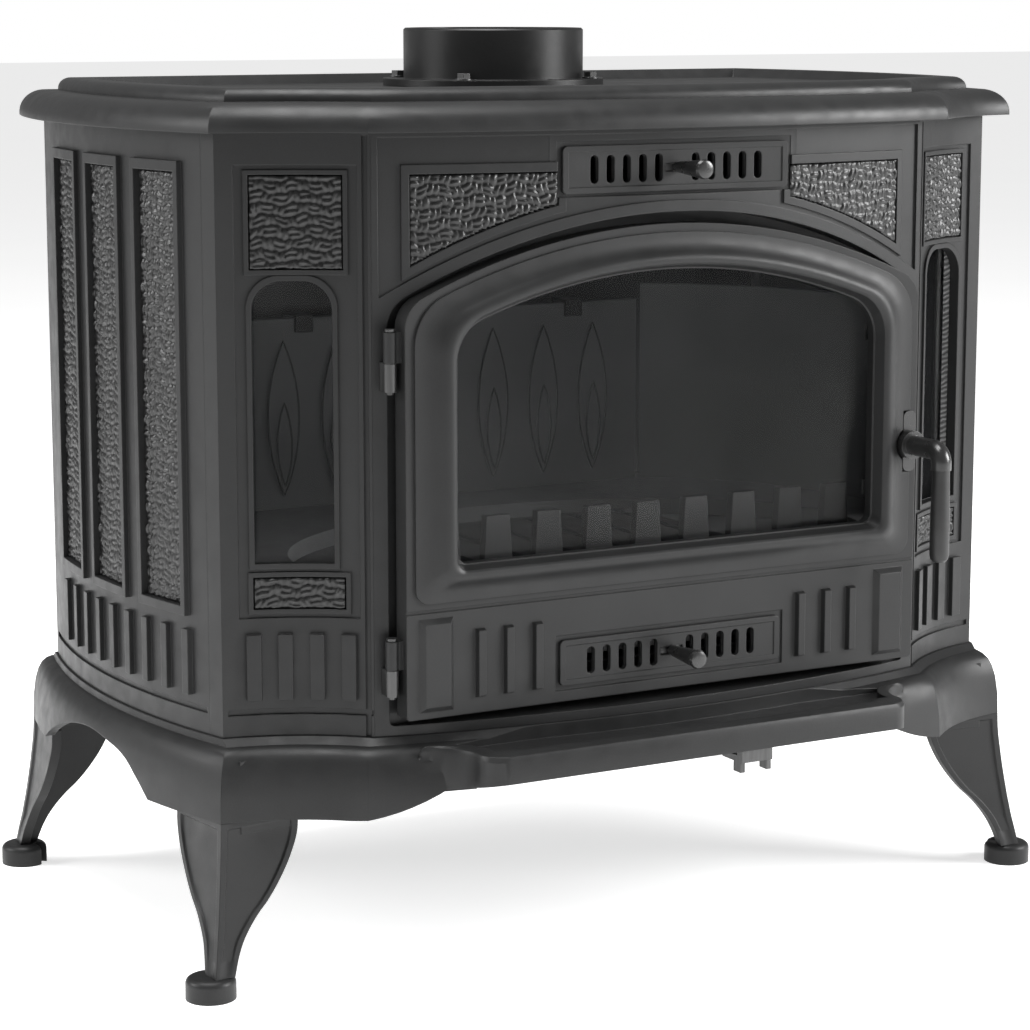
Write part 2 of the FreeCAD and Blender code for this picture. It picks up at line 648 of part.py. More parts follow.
corner_right = make_corner_panel()
feature("corner_panel_right", corner_right)
feature("corner_panel_left", mirrored(corner_right))


INSIDE = slab(-size("wall"), FOOT, HEAD)


def window_pane():
    """Flat glass behind the corner window; its face lies just inside the concave casting."""
    inside = size("wall") + size("chamfer_bow") + 3.5
    pane = chamfer_prism(17.0, 92.0, 312.0, 538.0, -inside, inside + 4.0)
    return pane


def window_seal():
    """Rope seal between the pane and the casting, round the window."""
    inside = size("wall") + size("chamfer_bow") + 3.5
    ring = chamfer_prism(18.0, 91.0, 313.0, 537.0, 0.0, inside)
    ring = ring.cut(chamfer_prism(24.0, 85.0, 319.0, 531.0, 10.0, inside + 10))
    return ring.common(INSIDE)


def window_clips():
    """Four spring clips with their screws, holding a corner pane."""
    inside = size("wall") + size("chamfer_bow") + 7.5
    clips = []
    for z in (345.0, 505.0):
        for s0, s1, screw in ((9.5, 21.0, 13.0), (88.0, 99.5, 96.0)):
            clip = chamfer_prism(s0, s1, z - 6, z + 6, -inside, inside + 2.0)
            post = CORNER + CHAMFER_ALONG * screw - CHAMFER_OUT * (inside + 4.0) + Vector(0, 0, z)
            clips.append(clip.fuse(Part.makeCylinder(2.5, 24.0, post, CHAMFER_OUT)).common(INSIDE))
    return clips


for side_name, place_side in (("right", lambda shape: shape), ("left", mirrored)):
    feature("corner_window_" + side_name, place_side(window_pane()))
feature("corner_window_seals", Part.makeCompound([window_seal(), mirrored(window_seal())]))
clips = window_clips()
feature("corner_window_clips", Part.makeCompound(clips + [mirrored(clip) for clip in clips]))


def make_side_panel():
    """Bulged casting of the right side: three woven fields over a row of upright bars."""
    rear_inner = REAR.y - size("wall")
    zone = box(100, 420, SEAM_Y, rear_inner, FOOT, HEAD)
    panel = SHELL.common(zone)
    middle, pitch = 35.5, 87.0
    raised, sunk = [], []
    for index in (-1, 0, 1):
        y = middle + index * pitch
        outer = box(100, 420, y - 32.5, y + 32.5, 277, 616.5)
        inner = box(100, 420, y - 27.5, y + 27.5, 284, 608.5)
        raised.append(rim(outer, inner))
        sunk.append(inner)
    for index in range(-4, 5):
        y = middle - 5.5 + index * 28.3
        raised.append(box(100, 420, y - 3.8, y + 3.8, BAR_FOOT, BAR_HEAD))
    sunk.append(box(100, 420, SEAM_Y + 3, rear_inner - 3, 205.5, 210.0))
    for region in sunk:
        panel = panel.cut(sink_into(region.common(zone)))
    return panel.fuse([raise_from(region.common(zone)) for region in raised])


side_right = make_side_panel()
feature("side_panel_right", side_right)
feature("side_panel_left", mirrored(side_right))


def make_back_panel():
    """Flat back with a raised border and two upright ribs."""
    rear_inner = REAR.y - size("wall")
    zone = box(-420, 420, rear_inner, 300, FOOT, HEAD)
    panel = SHELL.common(zone)
    border = rim(box(-330, 330, 150, 300, 210, 618), box(-316, 316, 150, 300, 224, 604))
    ribs = [box(x - 6, x + 6, 150, 300, 224, 604) for x in (-110, 110)]
    return panel.fuse([raise_from(region) for region in [border] + ribs])


feature("back_panel", make_back_panel())

# --------------------------------------------------------------------------------------------------
# Top plate, flue collar, tie rods
# --------------------------------------------------------------------------------------------------
TOP_OUT = (size("top_front"), size("top_front"), size("top_side"), size("top_rear"))


def top_wire(shift, height):
    """Plan of the top plate moved by shift at one height."""
    return outline(*[out + shift for out in TOP_OUT], height)


def quarter_round(outer, inset, foot, rise, steps):
    """Sections of a convex moulding that climbs inward from its outer lower edge."""
    sections = []
    for step in range(steps + 1):
        angle = math.radians(90.0 * step / steps)
        sections.append((outer - inset * (1 - math.cos(angle)), foot + rise * math.sin(angle)))
    return sections


def make_top_plate():
    """Two stacked quarter-round mouldings round a shallow basin, with the flue opening."""
    head, tier_one, tier_two, basin = HEAD, size("tier_one"), size("tier_two"), size("basin")
    lower = quarter_round(0.0, 21.0, head + 2.0, tier_one - head - 2.0, 12)
    lower = [(0.0, head)] + lower
    plate = Part.makeLoft([top_wire(*section) for section in lower], True, True)
    upper = [(-31.0, tier_one - 3.0), (-31.0, tier_one + 0.8)]
    upper += quarter_round(-31.0, 10.0, tier_one + 1.0, tier_two - tier_one - 1.0, 9)
    plate = plate.fuse(Part.makeLoft([top_wire(*section) for section in upper], True, True))
    bowl = Part.makeLoft([top_wire(-60.0, basin), top_wire(-54.0, tier_two + 1)], True, True)
    hollow = slab(-size("wall") - 6.0, head - 1, basin - 7.5)
    flue = Part.makeCylinder(size("flue_r") - size("flue_wall"), 80, Vector(0, size("flue_y"), head - 20))
    plate = plate.cut(bowl).cut(hollow).cut(flue)
    for place in TIE_RODS:
        boss = Part.makeCylinder(9.0, basin - head - 4.0, place + Vector(0, 0, head))
        plate = plate.fuse(boss).cut(Part.makeCylinder(4.0, 14.0, place + Vector(0, 0, head - 1)))
    return plate


feature("top_plate", make_top_plate())
turned("flue_collar", [
    ("sizes.flue_r - sizes.flue_wall", "sizes.basin"), ("sizes.flue_flange_r", "sizes.basin"),
    ("sizes.flue_flange_r", "sizes.basin + 6"), ("sizes.flue_r", "sizes.basin + 6"),
    ("sizes.flue_r", "sizes.total_height - 1.5"), ("sizes.flue_r - 1.5", "sizes.total_height"),
    ("sizes.flue_r - sizes.flue_wall", "sizes.total_height")],
    Vector(0, size("flue_y"), 0), UPRIGHT)
collar_bolts = []
for index in range(4):
    angle = math.radians(45 + 90 * index)
    place = Vector(84 * math.cos(angle), size("flue_y") + 84 * math.sin(angle), size("basin") + 6.0)
    washer = Part.makeCylinder(6.8, 1.2, place)
    collar_bolts.append(washer.fuse(hexagon(place + Vector(0, 0, 1.0), 10.0, 4.5)))
feature("flue_collar_bolts", Part.makeCompound(collar_bolts))
rod_foot = DECK - size("wall") - 12.0
feature("tie_rods", Part.makeCompound(
    [Part.makeCylinder(4.0, HEAD + 12.0 - rod_foot, place + Vector(0, 0, rod_foot)) for place in TIE_RODS]))
nut_height = 6.5
feature("tie_rod_nuts", Part.makeCompound(
    [hex_nut(place + Vector(0, 0, level - nut_height), 13.0, nut_height, 4.0)
     for place in TIE_RODS for level in (DECK - size("wall"), size("baffle_foot"))]))


# --------------------------------------------------------------------------------------------------
# Air inlets: a slotted plate in front of a slider that is moved by a tapered knob
# --------------------------------------------------------------------------------------------------
def air_slots(y0, y1, z):
    """The two rows of upright round-ended slots of one inlet."""
    slots = []
    radius = size("slot_width") / 2
    reach = size("slot_height") / 2 - radius
    for side in (-1, 1):
        for index in range(5):
            x = side * (size("slot_first") + index * size("slot_pitch"))
            slots.append(box(x - radius, x + radius, y0, y1, z - reach, z + reach))
            for end in (-reach, reach):
                slots.append(Part.makeCylinder(radius, y1 - y0, Vector(x, y0, z + end), Vector(0, 1, 0)))
    return slots


def vent_plate(face_y, z):
    """Slotted front plate with the two lipped rails that guide the slider behind it."""
    half_x, half_z = size("vent_width") / 2, size("vent_height") / 2
    rear = face_y + size("vent_thick")
    plate = box(-half_x, half_x, face_y, rear, z - half_z, z + half_z)
    corners = [edge for edge in plate.Edges if abs(edge.Length - size("vent_thick")) < 1e-6]
    plate = plate.makeFillet(4.0, corners)
    plate = plate.cut(box(-95, 95, face_y - 1, face_y + 0.8, z - 13.2, z + 13.2))
    for side in (-1, 1):
        z0, z1 = sorted((z + side * 12.4, z + side * 14.4))
        lip0, lip1 = sorted((z + side * 10.4, z + side * 14.4))
        plate = plate.fuse(box(-89, 89, rear, rear + 3.8, z0, z1))
        plate = plate.fuse(box(-89, 89, rear + 3.8, rear + 5.3, lip0, lip1))
    plate = plate.cut(air_slots(face_y - 1, rear + 1, z))
    travel = size("slide_travel") + 3.0
    return plate.removeSplitter().cut(box(-travel, travel, face_y - 1, rear + 1, z - 3.2, z + 3.2))


def air_slide(face_y, z):
    """Flat slider with the same slots as its plate."""
    front = face_y + size("vent_thick") + 0.4
    slide = box(-82, 82, front, front + 3.0, z - 12, z + 12).cut(air_slots(front - 1, front + 4, z))
    return slide.cut(Part.makeCylinder(2.5, 20, Vector(0, front - 5, z), Vector(0, 1, 0)))


def air_knob(label, face_y, z):
    """Long tapered knob, its threaded end held in the slider."""
    stem = "(sizes.vent_thick + 3.8)"
    turned(label, [
        ("0", "-%s" % stem), ("2.5", "-%s" % stem), ("2.5", "0.4"), ("sizes.knob_small_r", "0.4"),
        ("sizes.knob_small_r + 0.4", "4"), ("sizes.knob_big_r - 0.6", "sizes.knob_length - 6"),
        ("sizes.knob_big_r", "sizes.knob_length - 3"), ("sizes.knob_big_r - 1", "sizes.knob_length - 0.6"),
        ("sizes.knob_big_r - 3", "sizes.knob_length"), ("0", "sizes.knob_length")],
        Vector(0, face_y, z), Rotation(Vector(1, 0, 0), 180))


for level in ("upper", "lower"):
    plate_y, plate_z = size(level + "_vent_y"), size(level + "_vent_z")
    feature(level + "_vent_plate", vent_plate(plate_y, plate_z))
    feature(level + "_air_slide", air_slide(plate_y, plate_z))
    air_knob(level + "_air_knob", plate_y, plate_z)

# --------------------------------------------------------------------------------------------------
# Door: casting with a picture-frame moulding, glass, seals, hinges
# --------------------------------------------------------------------------------------------------
DOOR_FACE, DOOR_REAR = size("door_face_y"), size("door_rear_y")
DOOR_BACK = DOOR_FACE + 8.0


def arched_wire(half, foot, arch_z, arch_r, top_radius, foot_radius, y):
    """Closed wire of the arched outline with all four corners rounded."""
    rise = math.sqrt((arch_r - top_radius) ** 2 - (half - top_radius) ** 2)
    centre = Vector(half - top_radius, y, arch_z + rise)
    peak = Vector(half - top_radius, 0, rise).normalize()
    side_top = Vector(half, y, centre.z)
    arch_end = Vector(0, y, arch_z) + peak * arch_r
    corner_mid = centre + (peak + Vector(1, 0, 0)).normalize() * top_radius
    foot_centre = Vector(half - foot_radius, y, foot + foot_radius)
    side_foot = Vector(half, y, foot + foot_radius)
    foot_end = Vector(half - foot_radius, y, foot)
    foot_mid = foot_centre + Vector(1, 0, -1).normalize() * foot_radius

    def left(point):
        return Vector(-point.x, point.y, point.z)

    return Part.Wire([
        Part.LineSegment(left(foot_end), foot_end).toShape(),
        Part.Arc(foot_end, foot_mid, side_foot).toShape(),
        Part.LineSegment(side_foot, side_top).toShape(),
        Part.Arc(side_top, corner_mid, arch_end).toShape(),
        Part.Arc(arch_end, Vector(0, y, arch_z + arch_r), left(arch_end)).toShape(),
        Part.Arc(left(arch_end), left(corner_mid), left(side_top)).toShape(),
        Part.LineSegment(left(side_top), left(side_foot)).toShape(),
        Part.Arc(left(side_foot), left(foot_mid), left(foot_end)).toShape(),
    ])


# position across the moulding from its outer to its inner edge, height above the door's face
MOULDING = [(0, -4.0), (0, 2.0), (0.12, 2.3), (0.28, 3.2), (0.42, 5.0), (0.52, 7.2), (0.6, 9.2), (0.68, 10.4),
            (0.75, 10.7), (0.82, 10.3), (0.88, 8.8), (1, -2.0), (1, -4.0)]
MOULDING_OUTER = (223.0, 291.0, 43.7, 515.3, 40.0, 12.0)
MOULDING_INNER = (size("glass_half") + 0.5, size("glass_foot") - 0.5, size("glass_arch_z"),
                  size("glass_arch_r") + 0.5, 34.5, 8.5)


def moulding():
    """Picture-frame moulding round the glass."""
    wires = []
    for across, height in MOULDING:
        values = [outer + (inner - outer) * across for outer, inner in zip(MOULDING_OUTER, MOULDING_INNER)]
        wires.append(arched_wire(*values, DOOR_FACE - height))
    return ring_solid(wires)


def drafted(x0, x1, z0, z1, foot_y, head_y, inset):
    """Raised block with sloping sides, on a face that looks to the front."""
    wires = []
    for y, grow in ((foot_y, 0.0), (head_y, -inset)):
        points = [Vector(x0 - grow, y, z0 - grow), Vector(x1 + grow, y, z0 - grow),
                  Vector(x1 + grow, y, z1 + grow), Vector(x0 - grow, y, z1 + grow)]
        wires.append(Part.makePolygon(points + [points[0]]))
    return Part.makeLoft(wires, True, True)


def forward_cylinder(x, z, radius, y0, y1):
    """Cylinder along the depth of the stove."""
    return Part.makeCylinder(radius, y1 - y0, Vector(x, y0, z), Vector(0, 1, 0))


HANDLE_X, HANDLE_Z = size("handle_x"), size("handle_z")
HINGE = Vector(size("hinge_x"), size("hinge_y"), 0)
# foot and head of the frame's knuckle, head of the door's knuckle above it
HINGES = [(222.0, 242.0, 264.0), (450.0, 471.0, 494.0)]


def make_door_frame():
    """Door casting with its rear rim, moulding, bars, corner pads and hinge knuckles."""
    frame = door_outline(0, DOOR_FACE, DOOR_BACK)
    frame = frame.fuse(door_outline(0, DOOR_BACK - 1, DOOR_REAR).cut(door_outline(-23, DOOR_BACK - 2, DOOR_REAR + 1)))
    frame = frame.removeSplitter().cut(box(-240, 240, DOOR_FACE - 1, DOOR_FACE + 1.2, 284.0, 286.5))
    seat = box(215.7, 228.3, DOOR_FACE - 20, DOOR_FACE, 357.7, 407.3)
    seat = seat.fuse(forward_cylinder(HANDLE_X, HANDLE_Z, 13.0, DOOR_FACE - 20, DOOR_FACE))
    frame = frame.cut(window(0, DOOR_FACE - 30, DOOR_REAR + 5)).fuse(moulding().cut(seat))
    for side in (-1, 1):
        for inner, outer in ((115.0, 124.0), (140.0, 149.0), (164.0, 173.0)):
            x0, x1 = sorted((side * inner, side * outer))
            frame = frame.fuse(drafted(x0, x1, 216.0, 269.0, DOOR_FACE + 1, DOOR_FACE - 4.5, 1.5))
        x0, x1 = sorted((side * 190.0, side * 221.0))
        frame = frame.fuse(drafted(x0, x1, 208.0, 281.0, DOOR_FACE + 1, DOOR_FACE - 4.0, 5.0))
    vent_z = size("lower_vent_z")
    floor_y = size("lower_vent_y") + size("vent_thick")
    frame = frame.cut(box(-103.5, 103.5, -260, floor_y, 212.5, 255.5))
    frame = frame.cut(box(-92, 92, -260, -150, vent_z - 15, vent_z + 15))
    frame = frame.cut(forward_cylinder(HANDLE_X, HANDLE_Z, size("spindle_r") + size("running_gap"), -230, -150))
    for foot, middle, head in HINGES:
        foot_z = middle + 0.3
        knuckle = Part.makeCylinder(size("knuckle_r"), head - foot_z, HINGE + Vector(0, 0, foot_z))
        knuckle = knuckle.fuse(box(HINGE.x + 1, -size("door_half") + 2, HINGE.y - 3.5, HINGE.y + 3.5, foot_z, head))
        bore = size("hinge_pin_r") + size("running_gap")
        frame = frame.fuse(knuckle).cut(Part.makeCylinder(bore, 60, HINGE + Vector(0, 0, foot_z - 10)))
    return frame


feature("door_frame", make_door_frame())
GLASS_FACE = DOOR_BACK + 3.0
GLASS_BACK = GLASS_FACE + size("glass_thick")
feature("door_glass", window(10, GLASS_FACE, GLASS_BACK))
feature("glass_seal", window(9, DOOR_BACK, GLASS_FACE).cut(window(5, DOOR_BACK - 1, GLASS_FACE + 1)))
glass_clips = []
for side in (-1, 1):
    for z in (345.0, 470.0):
        x0, x1 = sorted((side * 190.0, side * 206.0))
        post = forward_cylinder(side * 202.0, z, 2.5, DOOR_BACK, GLASS_BACK)
        glass_clips.append(post.fuse(box(x0, x1, GLASS_BACK, GLASS_BACK + 2, z - 6, z + 6)))
    post = forward_cylinder(side * 100.0, 302.0, 2.5, DOOR_BACK, GLASS_BACK)
    x = side * 100.0
    glass_clips.append(post.fuse(box(x - 6, x + 6, GLASS_BACK, GLASS_BACK + 2, 297.0, 316.0)))
feature("glass_clips", Part.makeCompound(glass_clips))


def seal_outline(shift, y0, y1):
    """Course of the rope seal on the rear rim of the door."""
    return arched(size("door_half"), size("door_foot") - 12.0, size("door_arch_z"), size("door_arch_r"),
                  y0, y1, 25.0, 6.0, shift)


seal_rear = size("flange_y") - 0.3
feature("door_seal", seal_outline(-16, DOOR_REAR, seal_rear).cut(seal_outline(-22, DOOR_REAR - 1, seal_rear + 1)))
brackets, pins = [], []
for foot, middle, head in HINGES:
    knuckle = Part.makeCylinder(size("knuckle_r"), middle - foot, HINGE + Vector(0, 0, foot))
    web = box(HINGE.x - 3.5, HINGE.x + 1.9, HINGE.y, -168, foot, middle)
    pin = Part.makeCylinder(size("hinge_pin_r"), head - foot + 4, HINGE + Vector(0, 0, foot - 2))
    brackets.append(knuckle.fuse(web).cut(BODY).cut(pin))
    cap = Part.makeCylinder(4.0, 2.0, HINGE + Vector(0, 0, head + 0.4))
    pins.append(pin.fuse(cap))
feature("hinge_brackets", Part.makeCompound(brackets))
feature("hinge_pins", Part.makeCompound(pins))

# --------------------------------------------------------------------------------------------------
# Door handle and latch
# --------------------------------------------------------------------------------------------------
PLATE_FACE = DOOR_FACE - 3.0
BOSS_REAR, BOSS_FACE = PLATE_FACE - 0.4, PLATE_FACE - 7.4
ARM_END = DOOR_FACE - size("arm_reach")
BEND = 10.0
plate = box(216, 228, PLATE_FACE, DOOR_FACE, 358, 407)
plate = plate.makeFillet(5.0, [edge for edge in plate.Edges if abs(edge.Length - 3.0) < 1e-6])
feature("handle_plate", plate.cut(forward_cylinder(HANDLE_X, HANDLE_Z, size("spindle_r") + size("running_gap"),
                                                   -230, -150)))
feature("handle_spindle", forward_cylinder(HANDLE_X, HANDLE_Z, size("spindle_r"), BOSS_FACE + 2, -173.0))


def make_arm():
    """Boss on the spindle, arm to the front, elbow and the stub that carries the grip."""
    boss = forward_cylinder(HANDLE_X, HANDLE_Z, 11.5, BOSS_FACE, BOSS_REAR)
    arm = forward_cylinder(HANDLE_X, HANDLE_Z, size("arm_r"), ARM_END + BEND, BOSS_FACE + 1)
    disc = Part.Face(Part.Wire(Part.makeCircle(size("arm_r"), Vector(HANDLE_X, ARM_END + BEND, HANDLE_Z),
                                               Vector(0, -1, 0))))
    elbow = disc.revolve(Vector(HANDLE_X, ARM_END + BEND, HANDLE_Z - BEND), Vector(1, 0, 0), 90)
    stub = Part.makeCylinder(size("arm_r"), 5, Vector(HANDLE_X, ARM_END, HANDLE_Z - BEND - 5))
    arm = boss.fuse([arm, elbow, stub])
    return arm.cut(forward_cylinder(HANDLE_X, HANDLE_Z, size("spindle_r"), BOSS_FACE + 2, -150))


feature("handle_arm", make_arm())
turned("handle_grip", [
    ("0", "-sizes.grip_length"), ("sizes.grip_r - 3", "-sizes.grip_length"),
    ("sizes.grip_r - 0.8", "2.2 - sizes.grip_length"), ("sizes.grip_r", "6 - sizes.grip_length"),
    ("sizes.grip_r", "-sizes.grip_length * 0.5"), ("sizes.grip_r - 0.8", "-6"), ("sizes.grip_r - 0.8", "0"),
    ("0", "0")], Vector(HANDLE_X, ARM_END, HANDLE_Z - BEND - 5), UPRIGHT)
cam = forward_cylinder(HANDLE_X, HANDLE_Z, 6.5, -178.4, -173.0)
cam = cam.fuse(box(HANDLE_X + 3, HANDLE_X + 11.5, -178.4, -173.0, HANDLE_Z - 4, HANDLE_Z + 4))
feature("latch_cam", cam.cut(forward_cylinder(HANDLE_X, HANDLE_Z, size("spindle_r"), -190, -150)))
feature("latch_keeper", box(233.3, 235, -176, -172, HANDLE_Z - 12, HANDLE_Z + 12))

# --------------------------------------------------------------------------------------------------
# Hearth, grate, linings, baffle, ash pan
# --------------------------------------------------------------------------------------------------
HEARTH, FLOOR_TOP = size("hearth_top"), size("hearth_floor_top")
behind_flange = box(-420, 420, size("flange_y") + size("flange_thick") + 0.3, 300, FOOT, HEAD)
rod_holes = [Part.makeCylinder(5.0, 600, place + Vector(0, 0, 150)) for place in TIE_RODS]
floor = slab(-8.3, FLOOR_TOP - 8, FLOOR_TOP).common(behind_flange)
feature("hearth_floor", floor.cut(box(-124, 124, -104, 78, 200, 400)).cut(rod_holes))
grate = box(-130, 130, -110, 84, FLOOR_TOP, FLOOR_TOP + 8)
for index in (-2.5, -1.5, -0.5, 0.5, 1.5, 2.5):
    x = index * size("bar_pitch")
    grate = grate.cut(box(x - 5, x + 5, -100, 74, 200, 400))
feature("grate", grate)


def make_surround():
    """Flat ledge round the fire with an elliptical hollow."""
    ledge = slab(-8.3, FLOOR_TOP, HEARTH).common(box(-420, 420, -150, 300, 200, 400))
    ellipse = Part.Ellipse(Vector(0, size("bowl_y"), 200), size("bowl_a"), size("bowl_b"))
    bowl = Part.Face(Part.Wire(ellipse.toShape())).extrude(Vector(0, 0, 200))
    return ledge.cut(bowl).cut(rod_holes)


feature("hearth_surround", make_surround())
retainer = box(-196, 196, -160, -152, FLOOR_TOP, FLOOR_TOP + 20)
for index in range(-4, 5):
    x = index * size("bar_pitch")
    points = [Vector(x - 12.5, -160, FLOOR_TOP + 19), Vector(x + 12.5, -160, FLOOR_TOP + 19),
              Vector(x + 10, -160, FLOOR_TOP + 60), Vector(x - 10, -160, FLOOR_TOP + 60)]
    tooth = Part.Face(Part.makePolygon(points + [points[0]])).extrude(Vector(0, 8, 0))
    retainer = retainer.fuse(tooth)
feature("log_retainer", retainer.removeSplitter())


def flame(x, foot_z, head_z, half, proud):
    """Raised leaf-shaped motif on the face of the back lining."""
    face_y = size("lining_y")
    tip, bottom = Vector(x, face_y + 1, head_z), Vector(x, face_y + 1, foot_z)
    middle = foot_z + (head_z - foot_z) * 0.4
    wire = Part.Wire([
        Part.Arc(tip, Vector(x + half, face_y + 1, middle), bottom).toShape(),
        Part.Arc(bottom, Vector(x - half, face_y + 1, middle), tip).toShape(),
    ])
    return Part.Face(wire).extrude(Vector(0, -1 - proud, 0))


back_lining = box(-size("lining_half"), size("lining_half"), size("lining_y"),
                  size("lining_y") + size("lining_thick"), HEARTH, size("lining_top"))
for index in range(-3, 4):
    outer_leaf = flame(index * 51.0, HEARTH + 12, 445.0, 14.0, 2.4)
    inner_leaf = flame(index * 51.0, HEARTH + 20, 392.0, 6.5, 4.0)
    back_lining = back_lining.fuse([outer_leaf, inner_leaf])
feature("lining_back", back_lining)


def side_lining():
    """Curved cast plate of the right side of the fire."""
    thick = size("lining_thick")
    inner = [Vector(203, 188, HEARTH), Vector(272, 120, HEARTH), Vector(312, 10, HEARTH), Vector(322, -60, HEARTH)]
    outer = [Vector(203 + 0.7 * thick, 188 + 0.7 * thick, HEARTH), Vector(272 + 0.8 * thick, 120 + 0.6 * thick, HEARTH),
             Vector(312 + thick, 10 + 0.2 * thick, HEARTH), Vector(322 + thick, -60, HEARTH)]
    near, far = Part.BSplineCurve(), Part.BSplineCurve()
    near.interpolate(inner)
    far.interpolate(outer)
    wire = Part.Wire([near.toShape(), Part.LineSegment(inner[-1], outer[-1]).toShape(),
                      far.toShape(), Part.LineSegment(outer[0], inner[0]).toShape()])
    return Part.Face(wire).extrude(Vector(0, 0, 178))


feature("lining_right", side_lining())
feature("lining_left", mirrored(side_lining()))
hooks = []
for x in (-133.0, 133.0):
    rear_inner = REAR.y - size("wall")
    hook = box(x - 8, x + 8, size("lining_y") - 4, rear_inner, size("lining_top"), size("lining_top") + 3)
    hook = hook.fuse(box(x - 8, x + 8, size("lining_y") - 4, size("lining_y"), 452, size("lining_top") + 3))
    hooks.append(hook.fuse(box(x - 8, x + 8, rear_inner - 3, rear_inner, 440, size("lining_top") + 3)).removeSplitter())
feature("lining_hooks", Part.makeCompound(hooks))
baffle = slab(-8.3, size("baffle_foot"), size("baffle_foot") + 6).common(box(-420, 420, -112, 300, 0, 900))
feature("baffle", baffle.cut(rod_holes))
PAN_FOOT, PAN_HEAD = 229.0, 272.0
pan = box(-150, 150, -155, 70, PAN_FOOT, PAN_HEAD).cut(box(-148, 148, -153, 68, PAN_FOOT + 2, PAN_HEAD + 1))
feature("ash_pan", pan)
rails = []
for side in (-1, 1):
    web = sorted((side * 152.0, side * 156.0))
    flange = sorted((side * 134.0, side * 156.0))
    rails.append(box(web[0], web[1], -140, 80, FOOT, PAN_FOOT).fuse(
        box(flange[0], flange[1], -140, 80, PAN_FOOT - 4, PAN_FOOT)).removeSplitter())
feature("ash_pan_rails", Part.makeCompound(rails))
feature("hearth_posts", Part.makeCompound([
    Part.makeCylinder(8.0, FLOOR_TOP - 8 - FOOT, Vector(x, y, FOOT))
    for x in (-220, 220) for y in (-120, 150)]))
lug = box(30, 58, -252, -224, 152, 157).fuse(box(30, 58, -252, -245, 156, 166))
lug = lug.fuse([box(30, 34, -250, -240, 144, 153), box(54, 58, -250, -240, 144, 153)]).removeSplitter()
feature("lip_lug", lug.cut(parts[0].Shape))

# --------------------------------------------------------------------------------------------------
# Final placement, checks and export
# --------------------------------------------------------------------------------------------------
doc.recompute()
shift = Vector(0, size("origin_shift_y"), 0)
for sub_part in parts:
    for path, rule in list(sub_part.ExpressionEngine):
        if path.endswith("Placement.Base.y"):
            sub_part.setExpression("Placement.Base.y", "%s + sizes.origin_shift_y" % rule)
            break
    else:
        sub_part.Placement = Placement(shift, Rotation()) * sub_part.Placement
doc.recompute()
for item in doc.Objects:
    if "Invalid" in item.State or "Error" in item.State:
        raise RuntimeError("%s is %s" % (item.Label, item.State))
for sub_part in parts:
    if sub_part.Shape.isNull() or not sub_part.Shape.isValid():
        raise RuntimeError("bad shape: %s" % sub_part.Label)
for sub_part in parts:
    sub_part.Shape.exportStep("parts/%s.step" % sub_part.Label)
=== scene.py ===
"""Looks for the cast-iron wood burning stove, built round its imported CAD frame."""
import json
import math

import bpy
import numpy
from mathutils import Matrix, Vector
from mathutils.bvhtree import BVHTree


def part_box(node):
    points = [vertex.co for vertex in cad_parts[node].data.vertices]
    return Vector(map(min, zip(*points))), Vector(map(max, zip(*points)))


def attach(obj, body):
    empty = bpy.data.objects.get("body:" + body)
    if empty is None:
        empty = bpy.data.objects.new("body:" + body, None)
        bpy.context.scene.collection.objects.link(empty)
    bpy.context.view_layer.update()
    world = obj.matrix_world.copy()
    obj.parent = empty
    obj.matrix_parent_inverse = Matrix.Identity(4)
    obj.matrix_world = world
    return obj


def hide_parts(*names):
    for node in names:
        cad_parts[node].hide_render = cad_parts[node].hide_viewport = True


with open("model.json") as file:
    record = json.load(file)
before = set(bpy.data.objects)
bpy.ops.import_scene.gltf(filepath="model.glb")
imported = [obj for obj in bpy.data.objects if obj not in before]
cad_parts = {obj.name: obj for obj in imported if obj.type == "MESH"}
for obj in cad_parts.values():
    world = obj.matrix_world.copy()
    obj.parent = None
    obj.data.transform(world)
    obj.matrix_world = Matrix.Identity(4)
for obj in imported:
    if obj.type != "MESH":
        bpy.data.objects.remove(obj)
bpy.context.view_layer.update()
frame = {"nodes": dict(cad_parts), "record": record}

NODES = frame["nodes"]
BODY_OF = {node: body for body, nodes in frame["record"]["behaviour"]["bodies"].items() for node in nodes}
SLOT_OF = {row["node"]: row["material_slot"] for row in frame["record"]["subparts"]}
SHIFT_Y = -0.011  # the part's origin_shift_y, from its drawing to the middle of its box

COLOUR_A, COLOUR_B, COLOUR_OUT = 6, 7, 2  # sockets of a Mix node that mixes colours


